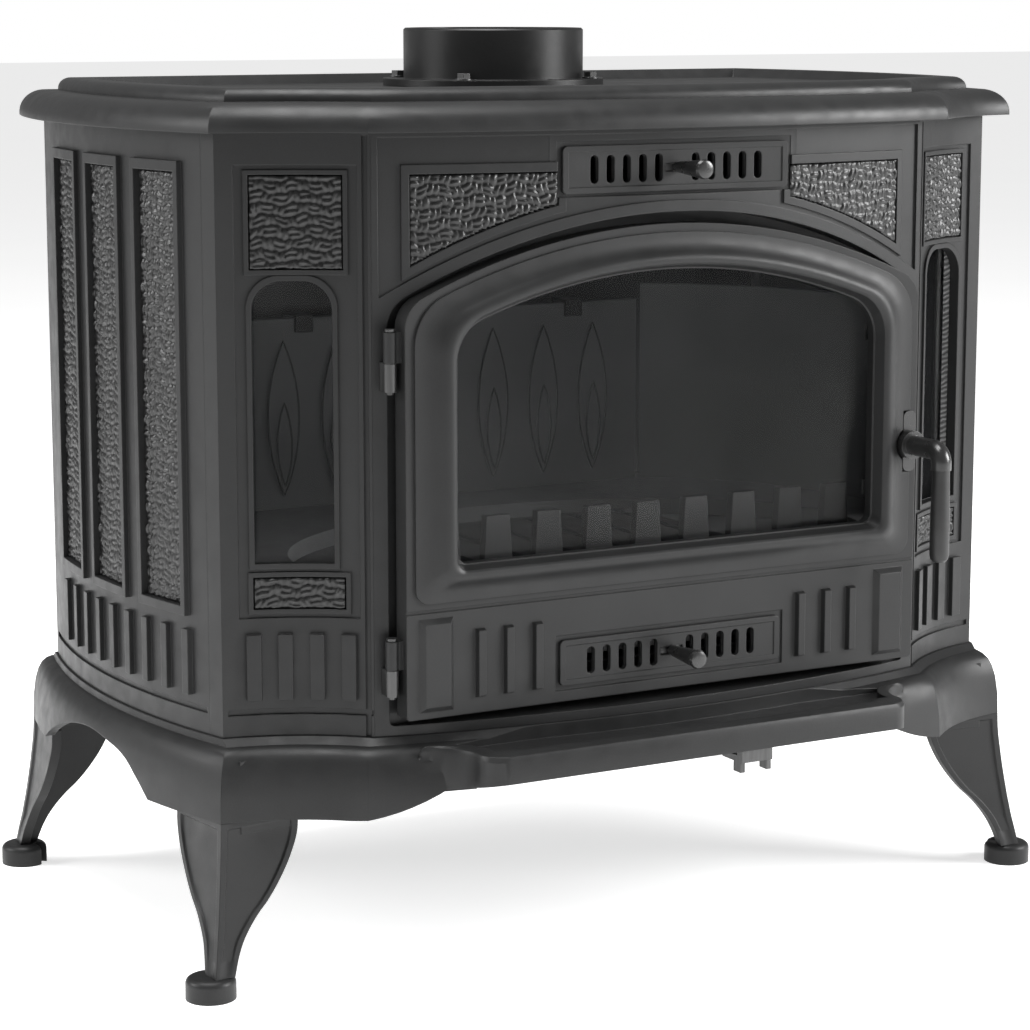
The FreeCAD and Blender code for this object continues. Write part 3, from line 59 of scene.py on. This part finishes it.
# --------------------------------------------------------------------------------------------------
# Materials
# --------------------------------------------------------------------------------------------------
class Shader:
    """A node material with helpers to add and join nodes."""

    def __init__(self, name):
        self.material = bpy.data.materials.new(name)
        self.material.use_nodes = True
        self.tree = self.material.node_tree
        self.shader = self.tree.nodes["Principled BSDF"]
        self.place = self.add("ShaderNodeTexCoord").outputs["Object"]

    def add(self, kind, **values):
        """A new node with its plain properties set."""
        node = self.tree.nodes.new(kind)
        for key, value in values.items():
            setattr(node, key, value)
        return node

    def join(self, source, target):
        """A link between two sockets."""
        self.tree.links.new(source, target)

    def noise(self, scale, detail=3.0, rough=0.55, squeeze=None):
        """Noise at a scale per metre, stretched along an axis where squeeze says so."""
        node = self.add("ShaderNodeTexNoise")
        node.inputs["Scale"].default_value = scale
        node.inputs["Detail"].default_value = detail
        node.inputs["Roughness"].default_value = rough
        if squeeze:
            mapping = self.add("ShaderNodeMapping")
            mapping.inputs["Scale"].default_value = squeeze
            self.join(self.place, mapping.inputs["Vector"])
            self.join(mapping.outputs["Vector"], node.inputs["Vector"])
        else:
            self.join(self.place, node.inputs["Vector"])
        return node.outputs["Fac"]

    def ramp(self, source, stops):
        """Colours along a value, each stop being (position, colour)."""
        node = self.add("ShaderNodeValToRGB")
        while len(node.color_ramp.elements) < len(stops):
            node.color_ramp.elements.new(0.5)
        for element, (position, colour) in zip(node.color_ramp.elements, stops):
            element.position = position
            element.color = (*colour, 1.0)
        self.join(source, node.inputs["Fac"])
        return node.outputs["Color"]

    def spread(self, source, low, high, from_low=0.3, from_high=0.7):
        """A value mapped to a range."""
        node = self.add("ShaderNodeMapRange")
        node.inputs["From Min"].default_value = from_low
        node.inputs["From Max"].default_value = from_high
        node.inputs["To Min"].default_value = low
        node.inputs["To Max"].default_value = high
        self.join(source, node.inputs["Value"])
        return node.outputs["Result"]

    def blend(self, factor, first, second):
        """Two colours mixed by a factor, which is a socket or a plain number."""
        node = self.add("ShaderNodeMix", data_type="RGBA")
        if isinstance(factor, float):
            node.inputs["Factor"].default_value = factor
        else:
            self.join(factor, node.inputs["Factor"])
        self.join(first, node.inputs[COLOUR_A])
        self.join(second, node.inputs[COLOUR_B])
        return node.outputs[COLOUR_OUT]

    def soft_edge(self, radius):
        """A normal that rounds the sharp edges of a casting."""
        node = self.add("ShaderNodeBevel", samples=4)
        node.inputs["Radius"].default_value = radius
        return node.outputs["Normal"]

    def edge_mask(self, normal):
        """How far the rounded normal leaves the flat one: worn, lighter edges."""
        flat = self.add("ShaderNodeNewGeometry").outputs["Normal"]
        dot = self.add("ShaderNodeVectorMath", operation="DOT_PRODUCT")
        self.join(normal, dot.inputs[0])
        self.join(flat, dot.inputs[1])
        return self.spread(dot.outputs["Value"], 1.0, 0.0, 0.80, 0.985)

    def bump(self, height, strength, distance, normal=None):
        """Fine relief on top of a normal."""
        node = self.add("ShaderNodeBump")
        node.inputs["Strength"].default_value = strength
        node.inputs["Distance"].default_value = distance
        self.join(height, node.inputs["Height"])
        if normal is not None:
            self.join(normal, node.inputs["Normal"])
        return node.outputs["Normal"]


def grey(value, tint=0.0):
    """A grey, cooler with tint."""
    return (value, value * (1 + tint * 0.5), value * (1 + tint))


def iron_material(name, level, rough, grain=900.0, relief=0.12, wear=0.5, radius=0.0012):
    """Cast iron: sand-cast grain, cloudy colour, slightly worn edges."""
    made = Shader(name)
    cloud = made.noise(14.0, 4.0, 0.6)
    fine = made.noise(grain, 2.0)
    colour = made.ramp(cloud, [(0.3, grey(level * 0.86, 0.02)), (0.5, grey(level, 0.02)),
                               (0.72, grey(level * 1.16, 0.03))])
    speck = made.ramp(fine, [(0.35, grey(level * 0.82, 0.02)), (0.65, grey(level * 1.2, 0.02))])
    paint = made.blend(0.4, colour, speck)
    rounded = made.soft_edge(radius)
    worn = made.ramp(fine, [(0.3, grey(level * (1 + 0.5 * wear))), (0.7, grey(level * (1 + 1.6 * wear)))])
    made.join(made.blend(made.edge_mask(rounded), paint, worn), made.shader.inputs["Base Color"])
    made.join(made.spread(made.noise(60.0, 3.0), rough - 0.06, rough + 0.07), made.shader.inputs["Roughness"])
    made.join(made.bump(fine, relief, 0.0004, rounded), made.shader.inputs["Normal"])
    made.shader.inputs["Specular IOR Level"].default_value = 0.32
    return made.material


def enamel_material(name, level, rough, coat):
    """Satin black paint with a little orange peel."""
    made = Shader(name)
    cloud = made.noise(40.0, 3.0)
    made.join(made.ramp(cloud, [(0.3, grey(level * 0.8)), (0.7, grey(level * 1.3))]),
              made.shader.inputs["Base Color"])
    made.join(made.spread(made.noise(130.0), rough - 0.05, rough + 0.06), made.shader.inputs["Roughness"])
    made.join(made.bump(made.noise(420.0), 0.06, 0.0003, made.soft_edge(0.0008)),
              made.shader.inputs["Normal"])
    made.shader.inputs["Coat Weight"].default_value = coat
    made.shader.inputs["Coat Roughness"].default_value = 0.2
    return made.material


def steel_material(name, level, rough):
    """Plain steel with drawn streaks."""
    made = Shader(name)
    streak = made.noise(240.0, 3.0, 0.6, (1.0, 1.0, 0.08))
    made.join(made.ramp(streak, [(0.3, grey(level * 0.7)), (0.7, grey(level * 1.2))]),
              made.shader.inputs["Base Color"])
    made.join(made.spread(streak, rough - 0.08, rough + 0.1), made.shader.inputs["Roughness"])
    made.join(made.bump(streak, 0.08, 0.0003, made.soft_edge(0.0005)), made.shader.inputs["Normal"])
    made.shader.inputs["Metallic"].default_value = 0.9
    return made.material


def glass_material(name):
    """Clear stove glass under a thin, cloudy smoke film."""
    made = Shader(name)
    film = made.noise(9.0, 4.0, 0.6)
    made.join(made.ramp(film, [(0.3, (0.02, 0.021, 0.022)), (0.7, (0.04, 0.041, 0.042))]),
              made.shader.inputs["Base Color"])
    made.join(made.spread(film, 0.02, 0.06), made.shader.inputs["Roughness"])
    made.join(made.spread(film, 0.10, 0.16), made.shader.inputs["Alpha"])
    made.shader.inputs["IOR"].default_value = 1.45
    return made.material


def rope_material(name, level):
    """Braided fibre rope."""
    made = Shader(name)
    wave = made.add("ShaderNodeTexWave", bands_direction="DIAGONAL")
    wave.inputs["Scale"].default_value = 150.0
    wave.inputs["Distortion"].default_value = 3.0
    made.join(made.place, wave.inputs["Vector"])
    made.join(made.ramp(wave.outputs["Fac"], [(0.2, grey(level * 0.5)), (0.8, grey(level * 1.25))]),
              made.shader.inputs["Base Color"])
    made.join(made.bump(wave.outputs["Fac"], 0.8, 0.0008), made.shader.inputs["Normal"])
    made.shader.inputs["Roughness"].default_value = 0.95
    return made.material


MATERIALS = {
    "casting": iron_material("cast_iron", 0.018, 0.42),
    "collar_iron": iron_material("collar_iron", 0.011, 0.36, 700.0, 0.06, 0.3),
    "hearth_iron": iron_material("hearth_iron", 0.13, 0.60, 700.0, 0.12, 0.2),
    "black_enamel": enamel_material("black_enamel", 0.016, 0.30, 0.3),
    "grip_black": enamel_material("grip_black", 0.013, 0.46, 0.0),
    "steel": steel_material("steel", 0.22, 0.42),
    "dark_steel": steel_material("dark_steel", 0.10, 0.42),
    "glass": glass_material("stove_glass"),
    "rope": rope_material("rope", 0.30),
}


def woven_material(name, low, high, rough):
    """Iron of the woven fields, with painted shade: darkest between the strands, lightest on the strand
    crowns.
    """
    made = Shader(name)
    crown = made.add("ShaderNodeAttribute", attribute_name="crown").outputs["Fac"]
    # painted shade: low crowns and the rim near black, strand tops lighter
    made.join(made.ramp(crown, [(0.05, grey(low)), (0.35, grey(high * 0.22)), (0.85, grey(high))]),
              made.shader.inputs["Base Color"])
    made.join(made.spread(made.noise(500.0), rough - 0.08, rough + 0.08), made.shader.inputs["Roughness"])
    made.join(made.bump(made.noise(1400.0, 2.0), 0.10, 0.0004), made.shader.inputs["Normal"])
    made.shader.inputs["Specular IOR Level"].default_value = 0.5
    return made.material


RELIEF_IRON_PAINTED_SHADE = woven_material("woven_iron", 0.001, 0.022, 0.34)
DARK_IRON = iron_material("retainer_iron", 0.020, 0.55, 700.0, 0.12, 0.3)
DARK_NODES = ("log_retainer", "grate", "lining_hooks")

MERGE_DISTANCE = 2e-6
SHARP_EDGE = math.radians(27.0)
LEG_SHARP_EDGE = math.radians(30.0)


def shading_group():
    """Geometry nodes that join a CAD mesh's faces and keep only its real corners sharp."""
    group = bpy.data.node_groups.new("even_shading", "GeometryNodeTree")
    group.interface.new_socket("Geometry", in_out="INPUT", socket_type="NodeSocketGeometry")
    group.interface.new_socket("Geometry", in_out="OUTPUT", socket_type="NodeSocketGeometry")
    add, join = group.nodes.new, group.links.new
    merge = add("GeometryNodeMergeByDistance")
    merge.inputs["Distance"].default_value = MERGE_DISTANCE
    faces, edges = add("GeometryNodeSetShadeSmooth"), add("GeometryNodeSetShadeSmooth")
    edges.domain = "EDGE"
    edges.inputs["Shade Smooth"].default_value = False
    angle, sharp = add("GeometryNodeInputMeshEdgeAngle"), add("FunctionNodeCompare")
    angle_socket, limit_socket = sharp.inputs[0], sharp.inputs[1]
    limit_socket.default_value = SHARP_EDGE
    join(add("NodeGroupInput").outputs[0], merge.inputs["Geometry"])
    join(merge.outputs["Geometry"], faces.inputs["Geometry"])
    join(faces.outputs["Geometry"], edges.inputs["Geometry"])
    join(angle.outputs["Unsigned Angle"], angle_socket)
    join(sharp.outputs["Result"], edges.inputs["Selection"])
    join(edges.outputs["Geometry"], add("NodeGroupOutput").inputs[0])
    return group


EVEN_SHADING = shading_group()

for node, piece in NODES.items():
    piece.data.materials.clear()
    piece.data.materials.append(DARK_IRON if node in DARK_NODES else MATERIALS[SLOT_OF[node]])
    for polygon in piece.data.polygons:
        polygon.material_index = 0
        polygon.use_smooth = True
    if "custom_normal" in piece.data.attributes:
        piece.data.attributes.remove(piece.data.attributes["custom_normal"])
    piece.modifiers.new("even_shading", "NODES").node_group = EVEN_SHADING


def add_piece(name, points, faces, body, slot, material=None):
    """A mesh that rides on a body and takes its finish from a slot."""
    mesh = bpy.data.meshes.new(name)
    mesh.from_pydata([tuple(point) for point in points], [], faces)
    mesh.update()
    piece = bpy.data.objects.new(name, mesh)
    bpy.context.scene.collection.objects.link(piece)
    mesh.materials.append(material or MATERIALS[slot])
    for polygon in mesh.polygons:
        polygon.use_smooth = True
    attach(piece, body)
    return piece


# --------------------------------------------------------------------------------------------------
# Woven relief of the sunk fields
# --------------------------------------------------------------------------------------------------
CELL = 0.0084  # side of one woven square
STRANDS = 2  # strands side by side in a square
WANDER, RIPPLE = 0.16, 0.06  # how far the strands stray from straight, in squares
RELIEF = 0.0025  # height of the highest strand
STEP = 0.00115  # spacing of the insert's mesh
BED_LIFT, RIM_LIFT, ROOT = 0.0004, 0.0002, 0.0008  # insert over the floor, its rim, its depth in the floor
RAY_START, RAY_REACH = 0.08, 0.16  # rays start outside the field's rough plane and end inside it


def weave(across, along):
    """Height, 0 to 1, of an uneven basket weave at places given in metres."""
    u, v = across / CELL, along / CELL
    u = u + WANDER * numpy.sin(v * 1.9 + 1.3 * numpy.sin(u * 0.7)) + RIPPLE * numpy.sin(v * 5.3 + u)
    v = v + WANDER * numpy.sin(u * 1.7 + 1.1 * numpy.sin(v * 0.9)) + RIPPLE * numpy.sin(u * 4.7 + 2.0)
    column, row = numpy.floor(u), numpy.floor(v)
    first, second = u - column - 0.5, v - row - 0.5
    turned = (column + row) % 2 > 0.5
    cross = numpy.where(turned, first, second)
    length = numpy.where(turned, second, first)
    strand = numpy.floor((cross + 0.5) * STRANDS)
    place = (cross + 0.5) * STRANDS - strand - 0.5
    # a fixed number for each strand, spread over 0 to 1: some strands are lower than others
    chance = numpy.sin(column * 12.9898 + row * 78.233 + strand * 37.719) * 43758.5453
    chance = chance - numpy.floor(chance)
    crown = numpy.clip(numpy.cos(math.pi * place * 0.98), 0, 1) ** 0.7
    return crown * (0.12 + 0.88 * numpy.cos(math.pi * length * 0.96) ** 0.7) * (0.55 + 0.45 * chance)


def surface_of(node):
    """Search tree over a CAD node's faces."""
    mesh = NODES[node].data
    return BVHTree.FromPolygons([vertex.co for vertex in mesh.vertices],
                                [polygon.vertices for polygon in mesh.polygons])


def relief(name, node, corner, across, up, width, height, inside=None):
    """Woven insert on the floor of a sunk field.

    The field's rectangle starts at corner, in a rough plane; rays cross it at right angles and find the
    casting. Cells whose middle inside() refuses are left out. The insert's rim is low, and a back inside
    the casting closes it.
    """
    across, up = Vector(across).normalized(), Vector(up).normalized()
    toward = up.cross(across)
    tree = surface_of(node)
    columns, rows = max(2, round(width / STEP)) + 1, max(2, round(height / STEP)) + 1
    tops, faces, used = {}, [], set()
    grid_a = numpy.linspace(0, width, columns)
    grid_b = numpy.linspace(0, height, rows)
    shift = sum(ord(letter) for letter in name) * 0.0137
    heights = weave(grid_a[:, None] + shift, grid_b[None, :] + shift * 1.7)
    for i in range(columns - 1):
        for j in range(rows - 1):
            a, b = (grid_a[i] + grid_a[i + 1]) / 2, (grid_b[j] + grid_b[j + 1]) / 2
            if inside is None or inside(a, b):
                used.add((i, j))
    corners = {(i + di, j + dj) for i, j in used for di in (0, 1) for dj in (0, 1)}
    for i, j in corners:
        start = Vector(corner) + across * float(grid_a[i]) + up * float(grid_b[j])
        tops[i, j] = tree.ray_cast(start - toward * RAY_START, toward, RAY_REACH)[0]
    used = {(i, j) for i, j in used if all(tops[i + di, j + dj] for di in (0, 1) for dj in (0, 1))}
    border = []
    for i, j in used:
        for edge, other in ((((i, j), (i + 1, j)), (i, j - 1)), (((i + 1, j), (i + 1, j + 1)), (i + 1, j)),
                            (((i + 1, j + 1), (i, j + 1)), (i, j + 1)), (((i, j + 1), (i, j)), (i - 1, j))):
            if other not in used:
                border.append(edge)
    rim = {key for edge in border for key in edge}
    order = sorted({(i + di, j + dj) for i, j in used for di in (0, 1) for dj in (0, 1)})
    index = {key: number for number, key in enumerate(order)}
    points, crowns = [], []
    for i, j in order:
        lift = RIM_LIFT if (i, j) in rim else BED_LIFT + RELIEF * float(heights[i, j])
        crowns.append(0.0 if (i, j) in rim else float(heights[i, j]))
        points.append(tops[i, j] - toward * lift)
    back = {key: len(points) + number for number, key in enumerate(order)}
    points += [tops[key] + toward * ROOT for key in order]
    for i, j in sorted(used):
        ring = [(i, j), (i + 1, j), (i + 1, j + 1), (i, j + 1)]
        faces.append([index[key] for key in ring])
        faces.append([back[key] for key in reversed(ring)])
    for first, second in border:
        faces.append([index[second], index[first], back[first], back[second]])
    piece = add_piece(name, points, faces, BODY_OF[node], "casting", RELIEF_IRON_PAINTED_SHADE)
    # crown, 0 on the rim, sets the woven material's painted shade: dark where low, light on the strand tops
    layer = piece.data.attributes.new("crown", "FLOAT", "POINT")
    layer.data.foreach_set("value", crowns + [0.0] * len(order))


def add_side_reliefs():
    """Three tall fields in each bulged side."""
    middle, pitch, half = 0.0355 + SHIFT_Y, 0.087, 0.0272
    foot, head, plane = 0.2843, 0.6082, 0.38
    for side, name in ((-1, "left"), (1, "right")):
        for number in (-1, 0, 1):
            y = middle + number * pitch
            start = (side * plane, y - half * side, foot)
            relief("weave_side_%s_%d" % (name, number + 2), "side_panel_" + name, start,
                   (0, side, 0), (0, 0, 1), 2 * half, head - foot)


# the chamfer between front and right side, seen from above: its front end and its rear end
CREASE = Vector((0.246, -0.174 + SHIFT_Y, 0))
CORNER = Vector((0.3465, -0.122 + SHIFT_Y, 0))


def add_corner_reliefs():
    """An upper and a lower field in each chamfered corner."""
    along = (CREASE - CORNER).normalized()
    for side, name in ((-1, "left"), (1, "right")):
        mirror = Vector((side, 1, 1))
        for level, foot, head in (("upper", 0.5383, 0.6072), ("lower", 0.2858, 0.3097)):
            near, far = 0.0238, 0.0922
            begin, end = (far, near) if side > 0 else (near, far)
            start = (CORNER + along * begin) * mirror
            stop = (CORNER + along * end) * mirror
            start.z = foot
            way = stop - start
            way.z = 0
            relief("weave_corner_%s_%s" % (name, level), "corner_panel_" + name, start,
                   way, (0, 0, 1), far - near, head - foot)


def add_spandrel_reliefs():
    """The two fields over the arch, bounded below by a circle."""
    near, far, head, centre, radius = 0.1032, 0.2178, 0.6072, 0.128, 0.4664
    foot = centre + math.sqrt(radius ** 2 - far ** 2)
    plane = -0.2
    for side, name in ((-1, "left"), (1, "right")):
        left = -far if side < 0 else near

        def over_arch(a, b, left=left):
            return math.hypot(left + a, foot + b - centre) > radius

        relief("weave_spandrel_" + name, "front_frame", (left, plane, foot), (1, 0, 0), (0, 0, 1),
               far - near, head - foot, over_arch)


add_side_reliefs()
add_corner_reliefs()
add_spandrel_reliefs()


# --------------------------------------------------------------------------------------------------
# Cast beads round the flame motifs of the back lining, in dark iron as painted shade
# --------------------------------------------------------------------------------------------------
FLAME_PITCH, FLAMES_PER_SIDE = 0.051, 3
LEAVES = ((0.312, 0.445, 0.014, 0.0024), (0.320, 0.392, 0.0065, 0.0040))  # foot, head, half width, proud
BEAD_RADIUS, BEAD_SIDES = 0.0009, 6


def leaf_line(x, foot, head, half, depth, steps=28):
    """Closed line of a pointed leaf whose sides are arcs, in the plane at a depth."""
    centre_z, reach = (foot + head) / 2, (head - foot) / 2
    off = (head - foot) * 0.1
    centre_x = (half ** 2 + off ** 2 - reach ** 2) / (2 * half)
    radius = math.hypot(centre_x, reach)
    side = []
    for step in range(steps + 1):
        z = -reach + 2 * reach * step / steps
        side.append((max(centre_x + math.sqrt(radius ** 2 - z ** 2), 0.0), centre_z + z))
    right = [Vector((x + out, depth, z)) for out, z in side]
    left = [Vector((x - out, depth, z)) for out, z in reversed(side[1:-1])]
    return right + left


def add_flame_lines():
    """A cast bead along the edge of every leaf, coloured dark as painted shade so that the motifs read
    through the glass.
    """
    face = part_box("lining_back")[0][1] + max(leaf[3] for leaf in LEAVES)
    points, faces = [], []
    for number in range(-FLAMES_PER_SIDE, FLAMES_PER_SIDE + 1):
        for foot, head, half, proud in LEAVES:
            line = leaf_line(number * FLAME_PITCH, foot, head, half, face - proud)
            first, count = len(points), len(line)
            for k, point in enumerate(line):
                way = (line[(k + 1) % count] - line[k - 1]).normalized()
                flank = way.cross(Vector((0, 1, 0))).normalized()
                for turn in range(BEAD_SIDES):
                    angle = 2 * math.pi * turn / BEAD_SIDES
                    rise = Vector((0, BEAD_RADIUS * math.sin(angle), 0))
                    points.append(point + flank * BEAD_RADIUS * math.cos(angle) + rise)
            for k in range(count):
                for turn in range(BEAD_SIDES):
                    after = (turn + 1) % BEAD_SIDES
                    a, b = first + k * BEAD_SIDES, first + (k + 1) % count * BEAD_SIDES
                    faces.append([a + turn, a + after, b + after, b + turn])
    # dark retainer iron on the light lining: painted shade along the leaf edges
    add_piece("flame_lines", points, faces, "stove", "hearth_iron", DARK_IRON)


add_flame_lines()

# --------------------------------------------------------------------------------------------------
# Legs
# --------------------------------------------------------------------------------------------------
THICK = 0.008  # wall of a wing
LEG_FOOT, LEG_HEAD = 0.017, 0.1308
PANEL_HEAD, PANEL_LEVELS, PANEL_DEPTH = 0.1220, 56, 0.0016
PANEL_GONE, PANEL_FADE = 0.0150, 0.008  # a wing this long has a flat panel, and this much more the full one
TOP_LEVELS, PLAIN_FROM = (0.1226, 0.1246, 0.1262, LEG_HEAD), 0.1250
POST_FOOT, PLATE_FOOT, PLATE_HEAD = 0.1200, 0.1678, 0.1756
# the tab behind the skirt and the two blocks under the deck: ranges along one wing and along the other,
# foot and head
LEG_PRISMS = (
    ((0.0175, 0.060), (0.0004, 0.0078), POST_FOOT, PLATE_FOOT + 0.002),
    ((0.0175, 0.049), (0.0175, 0.049), PLATE_FOOT, PLATE_HEAD),
    ((0.0175, 0.049), (0.0004, 0.019), PLATE_FOOT, PLATE_HEAD),
)
# height, outward drift of the ridge, length of both wings
LEG_STATIONS = [
    (0.1308, 0.0, 0.0665), (0.116, 0.0008, 0.066), (0.101, 0.0028, 0.0615), (0.084, 0.0055, 0.053),
    (0.067, 0.0087, 0.041), (0.059, 0.0103, 0.0335), (0.050, 0.0124, 0.027), (0.042, 0.0142, 0.0225),
    (0.033, 0.0168, 0.0195), (0.017, 0.0210, 0.0165),
]


def along_leg(height):
    """Drift and wing length at a height, on smooth curves through the stations."""
    heights = [station[0] for station in reversed(LEG_STATIONS)]
    result = []
    for column in (1, 2):
        values = [station[column] for station in reversed(LEG_STATIONS)]
        slopes = numpy.gradient(values, heights)
        k = min(max(numpy.searchsorted(heights, height) - 1, 0), len(heights) - 2)
        span = heights[k + 1] - heights[k]
        t = (height - heights[k]) / span
        result.append((2 * t ** 3 - 3 * t ** 2 + 1) * values[k] + (t ** 3 - 2 * t ** 2 + t) * span * slopes[k]
                      + (3 * t ** 2 - 2 * t ** 3) * values[k + 1] + (t ** 3 - t ** 2) * span * slopes[k + 1])
    return result


def wing_profile(wing, depth):
    """Places along a wing and depths under its face: a bead at both edges round a sunk panel."""
    bead = min(0.0052, wing * 0.24)
    fall = 0.0012
    return [(0.0, 0.0), (bead * 0.5, 0.0), (bead, 0.0), (bead + fall, depth), (wing * 0.5, depth),
            (wing - bead - fall, depth), (wing - bead, 0.0), (wing - bead * 0.5, 0.0), (wing, 0.0)]


def leg_ring(corner, side_way, other_way, height, depth):
    """Closed section of a leg."""
    drift, wing = along_leg(height)
    ridge = corner - (side_way + other_way).normalized() * drift
    ridge = Vector((ridge.x, ridge.y, height))
    ring = []
    for place, sink in reversed(wing_profile(wing, depth)):
        ring.append(ridge + side_way * place + other_way * sink)
    for place, sink in wing_profile(wing, depth)[1:]:
        ring.append(ridge + other_way * place + side_way * sink)
    ring.append(ridge + other_way * wing + side_way * THICK)
    ring.append(ridge + (side_way + other_way) * THICK)
    ring.append(ridge + side_way * wing + other_way * THICK)
    return ring


def add_leg(name, corner, side_way, other_way):
    """Cabriole leg: beaded edges round a sunk panel on both wings, bolted up under the deck."""
    side_way, other_way = Vector(side_way).normalized(), Vector(other_way).normalized()
    heights = [LEG_FOOT + (PANEL_HEAD - LEG_FOOT) * k / PANEL_LEVELS for k in range(PANEL_LEVELS + 1)]
    heights += TOP_LEVELS
    points, faces = [], []
    for height in heights:
        wing = along_leg(height)[1]
        depth = PANEL_DEPTH * min(1.0, max(0.0, (wing - PANEL_GONE) / PANEL_FADE))
        if height > PLAIN_FROM:
            depth = 0.0
        points += leg_ring(corner, side_way, other_way, height, depth)
    count = len(points) // len(heights)
    for level in range(len(heights) - 1):
        for k in range(count):
            a, b = level * count + k, level * count + (k + 1) % count
            faces.append([a, b, b + count, a + count])
    faces.append(list(reversed(range(count))))
    faces.append([(len(heights) - 1) * count + k for k in range(count)])
    for (near, far), (face, back), low, high in LEG_PRISMS:
        outline = [(near, face), (far, face), (far, back), (near, back)]
        first = len(points)
        for height in (low, high):
            points += [Vector((*(corner + other_way * a + side_way * b).xy, height)) for a, b in outline]
        faces += [[first + 3, first + 2, first + 1, first], [first + 4, first + 5, first + 6, first + 7]]
        faces += [[first + k, first + (k + 1) % 4, first + 4 + (k + 1) % 4, first + 4 + k] for k in range(4)]
    piece = add_piece(name + "_cast", points, faces, "stove", "casting")
    piece.data.set_sharp_from_angle(angle=LEG_SHARP_EDGE)
    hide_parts(name)


SKIRT_FOOT, CORNER_FROM_X = 0.1315, 0.3  # the base's foot near a right leg is under one and beyond the other
DIAGONAL = (0.62, 0.78)  # outward over a right leg, in x and away from the middle in y
WING = (0.113, 0.993)  # a right leg's side wing, in x and toward the middle in y; the other is square to it


def leg_corner(front):
    """Where a right leg's ridge meets the foot of the skirt: the outermost corner of the base there."""
    mesh = NODES["base"].data
    lowest = [vertex.co for vertex in mesh.vertices
              if vertex.co.z < SKIRT_FOOT and vertex.co.x > CORNER_FROM_X]
    way = Vector((DIAGONAL[0], -DIAGONAL[1] if front else DIAGONAL[1]))
    return max(lowest, key=lambda point: point.xy.dot(way)).xy.to_3d()


for front, level in ((True, "front"), (False, "rear")):
    ridge = leg_corner(front)
    turn = 1 if front else -1
    for side, name in ((1, "right"), (-1, "left")):
        add_leg("leg_%s_%s" % (level, name), Vector((ridge.x * side, ridge.y, 0)),
                (WING[0] * side, WING[1] * turn, 0), (-WING[1] * side, WING[0] * turn, 0))

# --------------------------------------------------------------------------------------------------
# Camera, lights, floor
# --------------------------------------------------------------------------------------------------
SENSOR, FOCAL = 36.0, 104.1
LENS_SHIFT = (-0.0039, -0.0199)
CAMERA_PLACE = (-1.2011, -2.1185 + SHIFT_Y, 0.7353)
YAW, PITCH = math.radians(29.0), math.radians(9.5)
CENTRE = (0, 0, 0.35)
AMBIENT, BACKDROP = 0.22, 1.0  # the world as a light, and as the camera sees it
FLOOR_HALF = 30


def add_camera():
    """Camera at the photograph's angle."""
    data = bpy.data.cameras.new("camera")
    data.sensor_width = SENSOR
    data.lens = FOCAL
    data.shift_x, data.shift_y = LENS_SHIFT
    data.clip_end = 50
    camera = bpy.data.objects.new("camera", data)
    camera.location = CAMERA_PLACE
    camera.rotation_euler = (math.pi / 2 - PITCH, 0, -YAW)
    bpy.context.scene.collection.objects.link(camera)
    bpy.context.scene.camera = camera


def add_light(name, place, target, width, height, power):
    """Soft rectangular light aimed at a point."""
    data = bpy.data.lights.new(name, "AREA")
    data.shape = "RECTANGLE"
    data.size, data.size_y = width, height
    data.energy = power
    light = bpy.data.objects.new(name, data)
    light.location = place
    light.rotation_euler = (Vector(target) - Vector(place)).to_track_quat("-Z", "Y").to_euler()
    bpy.context.scene.collection.objects.link(light)


add_camera()
add_light("key", (-3.0, 1.1, 1.7), CENTRE, 1.5, 1.5, 58)
add_light("fill", (2.9, -2.1, 1.6), CENTRE, 1.6, 1.6, 150)
add_light("overhead", (-0.5, -0.1, 3.2), CENTRE, 2.0, 2.0, 110)

world = bpy.data.worlds.new("studio")
world.use_nodes = True
sky = world.node_tree.nodes["Background"]
sky.inputs["Color"].default_value = (1, 1, 1, 1)
ray = world.node_tree.nodes.new("ShaderNodeLightPath").outputs["Is Camera Ray"]
strength = world.node_tree.nodes.new("ShaderNodeMapRange")
strength.inputs["To Min"].default_value = AMBIENT
strength.inputs["To Max"].default_value = BACKDROP
world.node_tree.links.new(ray, strength.inputs["Value"])
world.node_tree.links.new(strength.outputs["Result"], sky.inputs["Strength"])
bpy.context.scene.world = world
bpy.context.scene.view_settings.view_transform = "Standard"

mesh = bpy.data.meshes.new("floor")
mesh.from_pydata([(-FLOOR_HALF, -FLOOR_HALF, 0), (FLOOR_HALF, -FLOOR_HALF, 0),
                  (FLOOR_HALF, FLOOR_HALF, 0), (-FLOOR_HALF, FLOOR_HALF, 0)], [], [(0, 1, 2, 3)])
floor = bpy.data.objects.new("floor", mesh)
bpy.context.scene.collection.objects.link(floor)
floor_paint = Shader("floor_paint")
floor_paint.join(floor_paint.ramp(floor_paint.noise(3.0), [(0.3, grey(0.93)), (0.7, grey(0.96))]),
                 floor_paint.shader.inputs["Base Color"])
floor_paint.shader.inputs["Roughness"].default_value = 0.9
floor_paint.shader.inputs["Emission Color"].default_value = (1, 1, 1, 1)
floor_paint.shader.inputs["Emission Strength"].default_value = 0.62
floor.data.materials.append(floor_paint.material)
